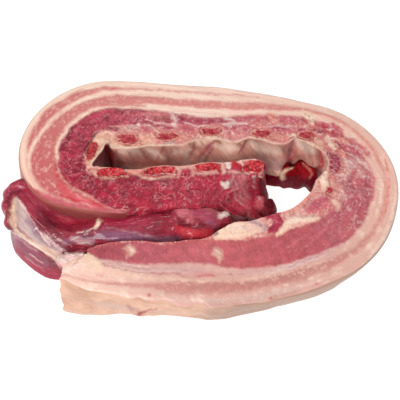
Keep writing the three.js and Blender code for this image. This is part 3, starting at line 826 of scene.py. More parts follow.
    # Front wall: grey skin under the lean, fat and the pink streak, from the free end to the right, with
    # painted shade on the fat and the rind's edge at the right.
    front_fat: Sequence[Brush] = (
        Brush(Tone.MIST, ((104, 258.5, 1.6), (113, 261, 2.4), (127, 264, 3.2), (145, 266, 3.8),
                          (165, 266, 4.2), (185, 266.5, 4.4), (197, 266, 3.6)), 0.5, 2.6),
        Brush(Tone.MIST, ((240, 269, 1.2), (256, 269, 2), (275, 267, 2.4), (290, 262, 2.4),
                          (308, 256.6, 2.4), (325, 250, 2.2), (338, 243, 1.8)), 0.5, 2.4),
        Brush(Tone.WHITE, ((262, 270, 0.5), (282, 266, 0.8), (302, 260, 0.8),
                           (322, 252.6, 0.6)), 0.35, 1.6),
        Brush(Tone.STREAK, ((276, 270, 0.6), (296, 265, 0.9), (316, 257.6, 0.7)), 0.4, 1.4),
        Brush(Tone.CREAM, ((108, 268, 1.8), (127, 272, 2.2), (146, 274, 2.4), (169, 275, 2.4),
                           (200, 277, 2)), 0.5, 2.2),
        Brush(Tone.CREAM, ((200, 277, 2), (227, 276, 2.2), (246, 275.6, 2.4), (264, 272.4, 2),
                           (294, 267, 1.8), (320, 259, 1.4)), 0.35, 2.2),
        Brush(Tone.STREAK, ((140, 281, 1), (152, 281.5, 3), (169, 284, 4.6), (184, 285.5, 5.2),
                            (200, 286, 4.8), (227, 285, 4.4), (246, 283, 3.6)), 0.6, 2.4),
        Brush(Tone.STREAK, ((246, 283, 3.6), (264, 281, 3.4), (294, 275.4, 3.2), (320, 266, 2.6),
                            (331, 260, 1.8)), 0.6, 2.4),
        Brush(Tone.BROWN, ((98, 255.7, 0.35), (105, 260, 0.5), (114, 263.4, 0.5), (127, 267.3, 0.5),
                           (146, 269.7, 0.45), (169, 269.7, 0.4)), 0.6, 0.8),
        Brush(Tone.BROWN, ((169, 269.7, 0.4), (184, 272, 0.45), (194, 274.3, 0.4)), 0.5, 0.8),
        Brush(Tone.STREAK, ((112, 261, 1), (136, 264.6, 2), (158, 268, 3), (184, 269.6, 3.4),
                            (206, 270.6, 3), (222, 271, 2)), 0.42, 2.4),
        Brush(Tone.WHITE, ((120, 264.6, 0.6), (142, 268, 0.8), (166, 267.6, 0.7),
                           (190, 269, 0.6)), 0.35, 1.6),
        Brush(Tone.WHITE, ((108, 258, 0.5), (126, 261.6, 0.7), (150, 263, 0.6)), 0.5, 1),
        Brush(Tone.VIOLET, ((284, 264, 0.4), (296, 259.6, 0.6), (308, 255, 0.5),
                            (324, 248, 0.4)), 0.35, 0.9),
        Brush(Tone.WHITE, ((270, 266, 0.4), (288, 261, 0.6), (306, 254.6, 0.6), (326, 246, 0.5)), 0.4, 1.2),
        Brush(Tone.BROWN, ((70, 271, 0.4), (86, 276.7, 0.5), (111, 279.8, 0.5), (138, 279.6, 0.5)), 0.3, 1),
        Brush(Tone.WHITE, ((150, 292, 1.4), (190, 296.6, 2), (225, 294.6, 2), (262, 290, 1.8),
                           (300, 281.6, 1.6), (332, 270, 1.2)), 0.4, 2.2),
        Brush(Tone.PINK, ((160, 298, 0.8), (190, 301.4, 1.2), (225, 300.4, 1.2), (255, 296.6, 1.0),
                          (290, 289, 1.0)), 0.3, 1.8),
        Brush(Tone.WHITE, ((120, 292, 1.2), (150, 298, 1.2), (176, 303, 1.4), (205, 303, 1.4),
                           (236, 300, 1.2), (262, 297, 1.0)), 0.4, 1.8),
        Brush(Tone.PINK, ((84, 283, 0.8), (112, 288, 1.2), (136, 290, 1.4), (152, 290, 1.0)), 0.25, 2),
        # Painted shade on the fat, then on the rounded edge of the rind, at the right.
        Brush(Tone.HIDE, ((205, 299, 4), (225, 299, 5), (245, 297, 6), (265, 293.6, 6), (282, 289, 5),
                          (296, 285, 3)), 0.34, 3),
        Brush(Tone.HIDE, ((198, 310, 0.6), (210, 310.4, 1.8), (225, 309.4, 2.8), (245, 306.4, 2.8),
                          (265, 303.6, 2.4), (284, 299, 2.2)), 0.9, 0.9),
        Brush(Tone.HIDE, ((284, 299, 2.2), (302, 294.6, 2), (320, 288.4, 1.8), (336, 282, 1.2)), 0.8, 0.9),
        Brush(Tone.CRIMSON, ((228, 270.4, 0.8), (231, 271.2, 0.6)), 0.6, 1.0),
        Brush(Tone.CRIMSON, ((236, 271, 0.4), (239, 271.4, 0.6), (243, 270.8, 0.3)), 0.55, 1.0),
        Brush(Tone.ROSE, ((196, 273, 0.8), (204, 271.4, 1.2), (214, 272, 1.0)), 0.6, 1.2),
        Brush(Tone.MAUVE, ((272, 247, 0.8), (286, 238, 1.6), (300, 229, 1.0)), 0.4, 1.6),
        Brush(Tone.PINK, ((278, 250, 0.5), (292, 241, 0.9), (306, 231, 0.7)), 0.45, 1.0),
        Brush(Tone.MAUVE, ((288, 250, 0.8), (302, 240, 1.6), (316, 228, 1.0)), 0.4, 1.6),
        Brush(Tone.PINK, ((296, 249, 0.5), (309, 239, 0.9), (322, 226, 0.7)), 0.45, 1.0),
        Brush(Tone.MAUVE, ((308, 244, 0.8), (320, 234, 1.6), (331, 221, 1.0)), 0.4, 1.6),
        Brush(Tone.TAN, ((216, 250, 2.6), (219, 255, 3.6), (218.6, 259.6, 2)), 0.85, 1.2, 0.4),
        Brush(Tone.TAN, ((126, 246, 1.4), (130, 246, 2.4), (132, 251, 2.4), (130, 255, 1.0)), 0.75, 1.2),
        Brush(Tone.ROSE, ((127, 250, 0.6), (129, 251.4, 0.7), (131, 250, 0.4)), 0.5, 0.8),
        Brush(Tone.MAUVE, ((102, 254, 1.6), (112, 256, 2.4), (124, 259, 2)), 0.4, 2.4),
        Brush(Tone.WHITE, ((215, 249, 0.8), (220, 252, 1.0)), 0.5, 1),
    )
    # Free end, with painted shade in the crease beside the crumpled fascia.
    free_tip: Sequence[Brush] = (
        Brush(Tone.CREAM, ((90, 254, 3), (96, 260, 5), (104, 266, 4)), 0.6, 2.4),
        Brush(Tone.CREAM, ((85, 252, 2), (91, 253.6, 3), (98, 257.6, 2.6), (104, 261, 1.6)), 0.9, 1.2),
        Brush(Tone.PINK, ((72, 271, 1.2), (74, 271.6, 1.0)), 0.6, 1.6),
        Brush(Tone.PINK, ((101, 271, 1.6), (106, 272, 1.8)), 0.5, 2),
        Brush(Tone.WHITE, ((66, 266, 3), (76, 266, 3.4), (84, 262, 3)), 0.55, 2.4),
        # Painted shade in the crease beside the crumpled fascia.
        Brush(Tone.BROWN, ((87, 251.6, 0.4), (84, 257, 0.6), (78, 263, 0.5)), 0.6, 0.9, -0.5),
    )
    # Left bend, where the red lean meets the start of the rind, with painted shade along the lap's lower
    # edge.
    left_bend: Sequence[Brush] = (
        Brush(Tone.WHITE, ((49, 164, 1.2), (52, 174, 1.6), (55, 182, 1.4)), 0.2, 2.4),
        Brush(Tone.ROSE, ((40, 180, 2), (46, 186, 3), (56, 193, 3), (66, 198, 2.4)), 0.4, 3),
        Brush(Tone.RED, ((57, 166, 1.6), (61, 179, 2.2), (66, 188, 2.2), (72, 195, 2),
                         (81, 200, 1.4)), 0.6, 2),
        Brush(Tone.CORAL, ((62, 186, 1.6), (70, 193, 3), (80, 198.6, 4), (90, 202.6, 4),
                           (101, 205.6, 3), (110, 208, 1.6)), 0.75, 2),
        Brush(Tone.ROSE, ((28, 184, 1.2), (34, 188.6, 2.4), (42, 193.6, 3), (50, 197.6, 3.2),
                          (60, 201.6, 3.4)), 0.88, 1.6),
        Brush(Tone.ROSE, ((60, 201.6, 3.4), (70, 204.4, 3.2), (82, 207, 3.2), (94, 209, 3),
                          (106, 210.8, 2.6), (118, 211.8, 1.8), (126, 212.2, 1)), 0.88, 1.6),
        # Painted shade along the lower edge of the lap, over the crevice.
        Brush(Tone.BROWN, ((27, 186, 0.8), (37, 193, 1.2), (48, 199.6, 1.4), (60, 204.6, 1.4),
                           (76, 208, 2), (96, 211, 2), (116, 213, 1.4)), 0.65, 1.8),
        Brush(Tone.BONE, ((70, 208, 0.8), (78, 209, 1.2), (88, 210, 1.0), (97, 211, 0.6)), 0.45, 1.4),
        Brush(Tone.RED, ((64, 195, 0.8), (70, 198, 1.2), (80, 200.6, 1.4), (86, 202, 0.8)), 0.65, 1.2),
        Brush(Tone.RED, ((90, 196, 1.2), (98, 202, 1.8), (104, 206, 1.4), (110, 209, 0.8)), 0.6, 1.4),
        Brush(Tone.PINK, ((78, 193.6, 0.6), (82, 196, 1.0), (85, 197.6, 0.6)), 0.8, 1.0, 0.3),
        Brush(Tone.PINK, ((84, 202.6, 0.7), (90, 204.2, 1.1), (95, 205.8, 0.6)), 0.85, 0.9, 0.3),
        Brush(Tone.PINK, ((106, 207, 0.6), (111, 207.4, 0.8), (116, 209, 0.5)), 0.75, 0.9),
        Brush(Tone.PINK, ((122, 209, 0.5), (127, 210, 0.9), (132, 209.6, 0.5)), 0.75, 0.9),
    )
    # Inner lap, rib side.
    inner_lap: Sequence[Brush] = (
        Brush(Tone.PINK, ((192, 171, 1.4), (206, 171.6, 1.8), (216, 170.6, 1.4)), 0.8, 1.2),
        Brush(Tone.WHITE, ((227, 164.4, 1.8), (229, 168, 2.0)), 0.9, 1.0, 0.3),
        Brush(Tone.WHITE, ((240.6, 162, 0.9), (241.6, 167, 1.0)), 0.8, 0.9),
        Brush(Tone.PINK, ((263, 163, 1.6), (265.6, 169, 2.0), (266, 173, 1.6)), 0.8, 1.2),
        Brush(Tone.PINK, ((231, 171, 0.8), (233, 177, 0.9), (231, 182, 0.7)), 0.8, 0.8),
        Brush(Tone.PINK, ((240, 170, 0.8), (242, 176, 0.8), (242, 181, 0.6)), 0.7, 0.8),
        Brush(Tone.PINK, ((246.6, 171, 0.8), (248, 180, 0.7)), 0.6, 0.8),
        Brush(Tone.GREY, ((253.6, 176, 1.2), (254.6, 182, 1.4)), 0.7, 1.2),
        Brush(Tone.PINK, ((184, 181, 0.5), (190, 177.4, 0.7), (192, 172.6, 0.7)), 0.85, 0.7),
        Brush(Tone.PINK, ((99, 175.6, 1.2), (112, 176.4, 1.6), (124, 174, 1.4)), 0.55, 1.4),
        Brush(Tone.SALMON, ((130, 172, 2), (136, 172.6, 2.4), (141, 171.6, 2)), 0.75, 1.4),
        Brush(Tone.WHITE, ((150, 175, 1.2), (160, 174.4, 1.6), (170, 173.6, 1.4),
                           (175, 175.6, 1.2)), 0.5, 1.4),
        Brush(Tone.WHITE, ((222, 183.4, 2.0), (225.4, 186, 3.0), (227, 183, 2.0)), 0.9, 1.1, 0.6),
        Brush(Tone.RED, ((219, 189, 1.4), (221, 191.4, 1.2)), 0.7, 1.0),
        Brush(Tone.RED, ((233, 163, 2.6), (235.6, 166, 3.4)), 0.95, 1.0, 0.5),
    )
    # Fibres of the inner end, with painted shade in the hollow under the rib.
    leaf: Sequence[Brush] = (
        Brush(Tone.ROSE, ((236, 176, 4), (241, 186, 6), (244, 197, 6), (245, 208, 4)), 0.6, 3),
        Brush(Tone.CRIMSON, ((252, 180, 3), (253, 190, 4), (252, 202, 4)), 0.6, 2.4),
        Brush(Tone.LILAC, ((229, 178, 0.5), (233, 192, 0.8), (238, 210, 0.5)), 0.45, 1.1),
        Brush(Tone.LILAC, ((233, 175, 0.5), (237, 189, 0.9), (242, 210, 0.5)), 0.6, 1.1),
        Brush(Tone.PINK, ((238, 173, 0.5), (241, 187, 0.8), (245, 208, 0.5)), 0.5, 1.1),
        Brush(Tone.LILAC, ((243, 174, 0.5), (245, 187, 0.9), (248, 204, 0.5)), 0.55, 1.1),
        Brush(Tone.GREY, ((252, 175, 0.9), (253.6, 182, 1.2), (252.6, 189, 0.7)), 0.6, 1.2),
        Brush(Tone.WINE, ((236, 178, 0.4), (239.6, 192, 0.6), (243, 206, 0.5)), 0.6, 0.8),
        Brush(Tone.WINE, ((243, 180, 0.4), (246, 192, 0.6), (248, 204, 0.4)), 0.6, 0.8),
        Brush(Tone.WINE, ((217, 200, 0.8), (228, 210, 1.2), (236, 215, 2.4), (245, 214, 3)), 0.8, 1.5),
        # Painted shade in the hollow under the rib, on the end face.
        Brush(Tone.WINE, ((262, 174.6, 1.2), (261, 181, 3.2), (261.6, 188, 4), (264, 195, 3.4)), 0.92, 1.6),
    )
    # Membrane on the inner face, with painted shadow in the corner of the tight bend and painted shade over
    # its lower left part.
    veil: Sequence[Brush] = (
        # Painted shadow in the corner of the tight bend, with a softer brown edge.
        Brush(Tone.WINE, ((94, 164, 4), (100, 156, 6), (106, 148, 4), (110, 160, 5)), 0.9, 4),
        Brush(Tone.BROWN, ((118, 150, 3), (122, 158, 4)), 0.6, 4),
        Brush(Tone.VEIL, ((122, 156, 6), (140, 156, 9), (200, 156, 10), (260, 156, 14),
                          (310, 154, 12)), 1.0, 4),
        # Painted shade over the lower left part of the membrane.
        Brush(Tone.BROWN, ((120, 155, 5), (138, 156, 8), (158, 156, 7), (176, 157, 4)), 0.4, 4),
        Brush(Tone.SHEEN, ((122, 152, 2), (134, 153, 3), (141, 152, 2)), 0.6, 2.4),
        Brush(Tone.SHEEN, ((148, 150, 2), (156, 154, 4), (164, 158, 2)), 0.7, 2.4),
        Brush(Tone.SHEEN, ((174, 152, 3), (184, 153, 3), (190, 150, 1.5)), 0.6, 2.4),
        Brush(Tone.SHEEN, ((217, 146, 2.8), (228, 148, 4), (237, 149, 2.6)), 0.9, 2.4),
        Brush(Tone.SHEEN, ((250, 144, 2.4), (262, 149, 4), (278, 152, 3.4)), 0.75, 2.4),
        Brush(Tone.BROWN, ((141, 149, 1.0), (144, 155, 1.4), (149, 163, 1.2)), 0.75, 1.4),
        Brush(Tone.BROWN, ((165, 147, 1.2), (161, 152, 1.8), (157, 158, 0.9)), 0.8, 1.4),
        Brush(Tone.BROWN, ((195, 142.6, 1.0), (193.6, 149, 1.8), (189, 156, 1.0)), 1.0, 1.3),
        Brush(Tone.MAUVE, ((214, 141.6, 0.8), (208, 147, 1.8), (203, 153, 1.6),
                           (199, 159, 1.0)), 0.85, 1.5),
        Brush(Tone.BROWN, ((213, 148, 0.9), (209, 154, 1.6), (204, 161, 1.2)), 0.85, 1.5),
        Brush(Tone.BROWN, ((248, 140.6, 0.9), (244, 146, 1.5), (239, 153, 0.9)), 0.95, 1.2),
        Brush(Tone.SHEEN, ((224, 150, 3), (230, 156, 3.4), (236, 158, 2)), 0.5, 3),
        Brush(Tone.GREY, ((262, 160, 3), (274, 163, 5), (284, 164, 4)), 0.6, 3),
        Brush(Tone.VIOLET, ((266, 165, 2), (278, 166, 3)), 0.35, 3),
        Brush(Tone.VIOLET, ((293, 139, 1.2), (291, 149, 2.0), (289, 158, 2.2)), 0.65, 2.0),
        Brush(Tone.RED, ((296, 150, 1.2), (296, 157, 2.0), (290, 159, 1.4)), 0.6, 1.8),
        Brush(Tone.SHEEN, ((296, 140, 1.4), (303, 147, 4), (312, 151, 3)), 0.9, 2),
        Brush(Tone.VEIL, ((300, 158, 2), (312, 160, 3)), 0.8, 2),
        Brush(Tone.RED, ((319, 152, 1.4), (321, 158, 2.6), (322, 166, 3)), 0.75, 1.8),
        Brush(Tone.WINE, ((318, 168, 2), (322, 176, 3)), 0.8, 2),
        # Painted shade along the lower part of the membrane.
        Brush(Tone.BROWN, ((118, 163, 3), (136, 163, 4), (156, 163, 4), (176, 163, 2)), 0.5, 3),
        Brush(Tone.BROWN, ((128, 150, 0.8), (131, 157, 1.2), (137, 164, 1.0)), 0.6, 1.4),
        Brush(Tone.BROWN, ((172, 149, 1.0), (170, 156, 1.6), (166, 163, 1.2)), 0.6, 1.6),
        Brush(Tone.WHITE, ((124, 150, 0.8), (132, 151.6, 1.2), (139, 150.6, 0.8)), 0.6, 1.4),
        Brush(Tone.WHITE, ((150, 150, 0.8), (157, 152, 1.4), (162, 156, 0.8)), 0.55, 1.4),
        # Painted shade along the lower part.
        Brush(Tone.BROWN, ((180, 163, 1.2), (200, 163, 1.4)), 0.35, 2),
    )
    # Marks on the rind at the front: a red nick, and painted shade, grey over the left part and brown down a
    # crease.
    hide: Sequence[Brush] = (
        Brush(Tone.GREY, ((102, 301, 5), (118, 304, 5), (130, 306, 4)), 0.45, 4),
        Brush(Tone.TAN, ((64, 300, 4), (74, 306, 5), (90, 308, 4)), 0.35, 5),
        Brush(Tone.BROWN, ((133, 303, 2.4), (140, 306, 3), (142, 310, 2.4)), 0.45, 2.4),
        Brush(Tone.BROWN, ((159, 303.6, 0.6), (150, 306.8, 1.2), (143, 310, 1.8),
                           (136, 313, 1.5)), 0.65, 1.5),
        Brush(Tone.RED, ((157, 304.4, 0.4), (148, 307.8, 0.8), (140, 311.6, 0.6)), 0.45, 0.9),
        # Painted shade down a crease.
        Brush(Tone.BROWN, ((132, 300, 1.6), (134, 306, 2), (135, 312, 1.4)), 0.35, 2.4),
        Brush(Tone.DARK, ((140, 309.6, 0.7), (143.4, 309, 0.6)), 0.5, 1.0),
    )

    def patches(self) -> tuple[Brush, ...]:
        """All patches of the cut face, the lowest first.

        Returns:
            The patches.
        """
        return (
            *self.tight_bend, *self.far_lean, *self.right_bend, *self.front_ribs, *self.front_fat,
            *self.free_tip, *self.left_bend, *self.inner_lap, *self.leaf,
        )

    def layers(self, s: np.ndarray, depth: np.ndarray) -> dict[Tissue, np.ndarray]:
        """Tissue of the plain layers.

        Args:
            s: Lengths along the run.
            depth: Depths from the rind.

        Returns:
            Distance inside each tissue.
        """
        strip = self.strip
        edges = [strip.edge(s, i) for i in range(len(Layer) + 1)]
        skin = strip.layer_curves[Layer.RIND_FAT.value](s)
        bare = ease(skin, 1.5, 0.2) * 30.0
        far = ease(s, 205, 250) * ease(s, 375, 335)
        bend = ease(s, 236, 215)
        outer = np.where(skin > 0.1, edges[1] - depth, OUTSIDE) - 0.9 * far
        seam = np.minimum(depth - edges[2], edges[3] - depth)
        seam = np.where(edges[3] - edges[2] > 0.1, seam, OUTSIDE) - 0.3 * far
        seam = seam - (1.1 + 1.5 * ease(s, 172, 146)) * ease(s, 112, 130) * bend
        uneven = 0.35 * self.lumps.rough(s / 5.0, 41.0) * ease(s, 195, 215)
        inner_rim = 0.75 - 0.3 * ease(s, 195, 215) + uneven - np.abs(edges[5] - 0.5 - depth)
        inner_rim = np.where((s > 3) & (s < 470), inner_rim, OUTSIDE)
        lean = np.minimum(depth - edges[1], edges[2] - depth)
        lean = np.where(edges[2] - edges[1] > 0.1, lean, OUTSIDE)
        lean = lean * (1.0 - 0.5 * far) + 0.9 * far
        meaty = np.maximum(ease(s, 124, 108), ease(s, 535, 555))
        shore = edges[4] + (edges[5] - 1.2 - edges[4]) * meaty
        deep = np.minimum(depth - edges[3] + bare, shore - depth) + 0.8 * ease(s, 118, 140) * bend
        deep = deep - 0.9 * ease(s, 225, 250) * ease(s, 372, 350)
        deep = deep * (1.0 - 0.55 * ease(s, 225, 245) * ease(s, 362, 345))
        return {
            Tissue.FAT: np.maximum(np.maximum(outer, seam), inner_rim),
            Tissue.LEAN: lean,
            Tissue.MUSCLE: np.where(edges[4] - edges[3] > 0.1, deep, OUTSIDE),
            Tissue.CREVICE: np.full(s.shape, OUTSIDE),
            Tissue.BLOOD: np.full(s.shape, OUTSIDE),
        }

    def read(self, s: np.ndarray, depth: np.ndarray) -> tuple[dict[Tissue, np.ndarray], np.ndarray]:
        """Tissue and relief at places on the cut face.

        Args:
            s: Lengths along the run.
            depth: Depths from the rind.

        Returns:
            Distance inside each tissue, and the height above the plain cut.
        """
        found = self.layers(s, depth)
        body = (Tissue.FAT, Tissue.LEAN, Tissue.MUSCLE)
        places = s / self.stray_pitch, depth / self.stray_pitch
        strayed_s = s + self.stray_along * self.lumps.rough(*places, 3.1)
        strayed_depth = self.strip.loose(s, depth) + self.stray_across * self.lumps.rough(*places, 9.7)
        relief = np.zeros_like(s)
        for stroke in self.strokes:
            cover = inside(stroke.points, strayed_s, strayed_depth)
            found[stroke.tissue] = np.maximum(found[stroke.tissue], cover)
            if stroke.tissue in body:
                for other in body:
                    if other is not stroke.tissue:
                        found[other] = np.minimum(found[other], -cover)
            if stroke.rise:
                relief += stroke.rise * ease(cover, -0.8, 1.6)
        meat = ease(found[Tissue.MUSCLE], -0.5, 0.8)
        crumbly = 1.0 - ease(s, 215, 300) * 0.7
        relief += self.broad_waves * self.lumps.rough(s / 22.0, depth / 9.0, 1.0)
        relief += meat * crumbly * self.meat_crumbs * self.lumps.rough(s / 3.2, depth / 3.2, 5.0, 2)
        relief -= self.meat_sink * meat
        bed = ease(depth - self.strip.edge(s, Layer.RIB_BED.value), -0.5, 1.5)
        relief += bed * self.bed_crumbs * self.lumps.rough(s / 4.2, depth / 4.2, 8.0, 3)
        relief += self.rim_rise * np.exp(-(((self.strip.rib_side(s) - 0.5 - depth) / 0.9) ** 2)) * bed
        return found, relief - self.rib_sink * self.sockets(s, depth)

    def sockets(self, s: np.ndarray, depth: np.ndarray) -> np.ndarray:
        """Where the meat gives way to the cut ribs.

        Args:
            s: Lengths along the run.
            depth: Depths from the rind.

        Returns:
            Share from 0 beside the ribs to 1 over them.
        """
        strip = self.strip
        plain = strip.rib_side(s) - strip.wave(s)
        ragged = self.lumps.rough(s / 2.4, depth / 2.4, 12.0)
        share = np.zeros_like(s)
        for rib in strip.ribs:
            at = np.array([rib.at])
            drift = plain - (strip.rib_side(at) - strip.wave(at))[0]
            across = (depth - plain + (1.0 - strip.rib_follow) * drift + rib.depth) / rib.thick
            rough = self.far_ragged if rib.far() else self.near_ragged
            reach = rib.outline(across, (s - rib.at) / rib.reach) + rough * ragged
            share = np.maximum(share, ease(reach, 1.0, 0.82))
        return share


@dataclass(frozen=True)
class Wire:
    """Result of one node, with which sums make further nodes."""

    graph: "Graph"
    socket: bpy.types.NodeSocket

    def __add__(self, other: "Feed") -> "Wire":
        """Sum with another number."""
        return self.graph.calc("ADD", self, other)

    def __sub__(self, other: "Feed") -> "Wire":
        """This number less another."""
        return self.graph.calc("SUBTRACT", self, other)

    def __rsub__(self, other: "Feed") -> "Wire":
        """A plain number less this one."""
        return self.graph.calc("SUBTRACT", other, self)

    def __mul__(self, other: "Feed") -> "Wire":
        """Product with another number."""
        return self.graph.calc("MULTIPLY", self, other)

    def __truediv__(self, other: "Feed") -> "Wire":
        """This number divided by another."""
        return self.graph.calc("DIVIDE", self, other)


Feed = Union[float, tuple, Wire]


class Graph:
    """Node tree of one material, with short calls for its nodes."""

    def __init__(self, name: str) -> None:
        """Make an empty material.

        Args:
            name: Name of the material.
        """
        self.material = bpy.data.materials.new(name)
        self.material.use_nodes = True
        self.tree = self.material.node_tree
        self.shader = self.tree.nodes["Principled BSDF"]

    def node(self, kind: str) -> bpy.types.Node:
        """Add a shader node of a kind."""
        return self.tree.nodes.new("ShaderNode" + kind)

    def out(self, node: bpy.types.Node, name: Union[int, str] = 0) -> Wire:
        """One result of a node."""
        return Wire(self, node.outputs[name])

    def link(self, socket: bpy.types.NodeSocket, value: Feed) -> None:
        """Give a socket a value or another node's result.

        Args:
            socket: Socket to fill.
            value: Number, vector, colour or result of a node.
        """
        if isinstance(value, Wire):
            self.tree.links.new(value.socket, socket)
        else:
            socket.default_value = value

    def calc(self, task: str, a: Feed, b: Feed = 0.0) -> Wire:
        """Result of one sum.

        Args:
            task: Name of the operation.
            a: First number.
            b: Second number.

        Returns:
            The result.
        """
        node = self.node("Math")
        node.operation = task
        self.link(node.inputs[0], a)
        self.link(node.inputs[1], b)
        return self.out(node)

    def number(self, name: str) -> Wire:
        """A number kept on the mesh.

        Args:
            name: Name that it is kept under.

        Returns:
            The wire that carries it.
        """
        node = self.node("Attribute")
        node.attribute_name = name
        return self.out(node, "Fac")

    def vector(self, name: str) -> Wire:
        """A vector kept on the mesh.

        Args:
            name: Name that it is kept under.

        Returns:
            The wire that carries it.
        """
        node = self.node("Attribute")
        node.attribute_name = name
        return self.out(node, "Vector")

    def part(self, vector: Wire, axis: int = 0) -> Wire:
        """One part of a vector.

        Args:
            vector: Vector to split.
            axis: Which part.

        Returns:
            The part.
        """
        node = self.node("SeparateXYZ")
        self.link(node.inputs[0], vector)
        return self.out(node, axis)

    def stretch(self, vector: Wire, by: Triple) -> Wire:
        """Vector with each part multiplied.

        Args:
            vector: Vector to stretch.
            by: Factors.

        Returns:
            The stretched vector.
        """
        node = self.node("VectorMath")
        node.operation = "MULTIPLY"
        self.link(node.inputs[0], vector)
        node.inputs[1].default_value = by
        return self.out(node)

    def tilt(self, vector: Wire, angle: float) -> Wire:
        """Vector turned about its second axis.

        Args:
            vector: Vector to turn.
            angle: Turn in degrees.

        Returns:
            The turned vector.
        """
        node = self.node("VectorRotate")
        node.rotation_type = "Y_AXIS"
        node.inputs["Angle"].default_value = math.radians(angle)
        self.link(node.inputs["Vector"], vector)
        return self.out(node)

    def noise(self, where: Wire, scale: float, detail: float = 2.0, rough: float = 0.5) -> Wire:
        """Soft cloud pattern.

        Args:
            where: Coordinates.
            scale: Lumps in each unit.
            detail: Levels of finer lumps.
            rough: Weight of the finer lumps.

        Returns:
            Values about 0 to 1.
        """
        node = self.node("TexNoise")
        self.link(node.inputs["Vector"], where)
        node.inputs["Scale"].default_value = scale
        node.inputs["Detail"].default_value = detail
        node.inputs["Roughness"].default_value = rough
        return self.out(node, "Fac")

    def cells(self, where: Wire, scale: float) -> tuple[Wire, Wire]:
        """Cell pattern, for beads and pores.

        Args:
            where: Coordinates.
            scale: Cells in each unit.

        Returns:
            Distance from the cell's middle, and a random number for each cell.
        """
        node = self.node("TexVoronoi")
        self.link(node.inputs["Vector"], where)
        node.inputs["Scale"].default_value = scale
        return self.out(node, "Distance"), self.part(self.out(node, "Color"))

    def warp(self, where: Wire, scale: float, by: float) -> Wire:
        """Coordinates pushed about by a cloud pattern.

        Args:
            where: Coordinates.
            scale: Lumps in each unit.
            by: How far they are pushed.

        Returns:
            The pushed coordinates.
        """
        node = self.node("TexNoise")
        self.link(node.inputs["Vector"], where)
        node.inputs["Scale"].default_value = scale
        centred = self.node("VectorMath")
        centred.operation = "MULTIPLY_ADD"
        self.link(centred.inputs[0], self.out(node, "Color"))
        centred.inputs[1].default_value = (2.0 * by, 2.0 * by, 2.0 * by)
        centred.inputs[2].default_value = (-by, -by, -by)
        total = self.node("VectorMath")
        total.operation = "ADD"
        self.link(total.inputs[0], where)
        self.link(total.inputs[1], self.out(centred))
        return self.out(total)

    def step(self, value: Feed, low: float, high: float, start: float = 0.0, end: float = 1.0) -> Wire:
        """Smooth step of a number.

        Args:
            value: Number to step.
            low: Where the step starts.
            high: Where the step ends.
            start: Result before the step.
            end: Result after the step.

        Returns:
            The stepped number.
        """
        node = self.node("MapRange")
        node.interpolation_type = "SMOOTHSTEP"
        if low > high:
            low, high, start, end = high, low, end, start
        self.link(node.inputs["Value"], value)
        node.inputs["From Min"].default_value = low
        node.inputs["From Max"].default_value = high
        node.inputs["To Min"].default_value = start
        node.inputs["To Max"].default_value = end
        return self.out(node, "Result")

    def swing(self, value: Feed, start: float, end: float) -> Wire:
        """Pattern as a factor that goes from one number to another."""
        return self.step(value, 0.3, 0.7, start, end)

    def ramp(self, value: Feed, stops: Sequence[tuple[float, Colour]]) -> Wire:
        """Colours along a number.

        Args:
            value: Number from 0 to 1.
            stops: Places and colours.

        Returns:
            The colour.
        """
        node = self.node("ValToRGB")
        elements = node.color_ramp.elements
        while len(elements) < len(stops):
            elements.new(0.5)
        for element, (place, colour) in zip(elements, stops):
            element.position = place
            element.color = paint(*colour)
        self.link(node.inputs[0], value)
        return self.out(node, "Color")

    def mix(self, share: Feed, a: Feed, b: Feed) -> Wire:
        """Two colours mixed.

        Args:
            share: Share of the second colour.
            a: First colour.
            b: Second colour.

        Returns:
            The mixed colour.
        """
        node = self.node("Mix")
        node.data_type = "RGBA"
        self.link(node.inputs[0], share)
        self.link(node.inputs[6], a)
        self.link(node.inputs[7], b)
        return self.out(node, 2)

    def stain(self, share: Feed, colour: Feed, by: Colour) -> Wire:
        """Colour stained with another, given as it shows on screen."""
        return self.mix(share, colour, paint(*by))

    def shade(self, colour: Feed, by: Feed) -> Wire:
        """Colour made lighter or darker by a number.

        Args:
            colour: Colour to change.
            by: Factor.

        Returns:
            The changed colour.
        """
        node = self.node("VectorMath")
        node.operation = "SCALE"
        self.link(node.inputs[0], colour)
        self.link(node.inputs["Scale"], by)
        return self.out(node)

    def bump(self, height: Feed, depth: float) -> None:
        """Set the surface's fine relief.

        Args:
            height: Height pattern.
            depth: Depth of the relief in millimetres.
        """
        node = self.node("Bump")
        node.inputs["Strength"].default_value = 1.0
        node.inputs["Distance"].default_value = depth * MM
        self.link(node.inputs["Height"], height)
        self.link(self.shader.inputs["Normal"], self.out(node))

    def finish(
        self, colour: Feed, rough: Feed, coat: float, coat_rough: float, gloss: float = 0.22,
    ) -> bpy.types.Material:
        """Set the shader's sockets.

        Args:
            colour: Base colour.
            rough: Roughness.
            coat: Weight of the wet film.
            coat_rough: Roughness of the wet film.
            gloss: Mirror share of the surface under the film.

        Returns:
            The material.
        """
        self.link(self.shader.inputs["Base Color"], colour)
        self.link(self.shader.inputs["Roughness"], rough)
        self.shader.inputs["Specular IOR Level"].default_value = gloss
        self.shader.inputs["Coat Weight"].default_value = coat
        self.shader.inputs["Coat Roughness"].default_value = coat_rough
        return self.material


@dataclass(frozen=True)
class CutGrain:
    """Patterns that the tissues of the cut face share."""

    where: Wire
    along: Wire
    ragged: Wire
    cloud: Wire
    mottle: Wire
    crumbly: Wire
    fibre: Wire
    streaks: Wire


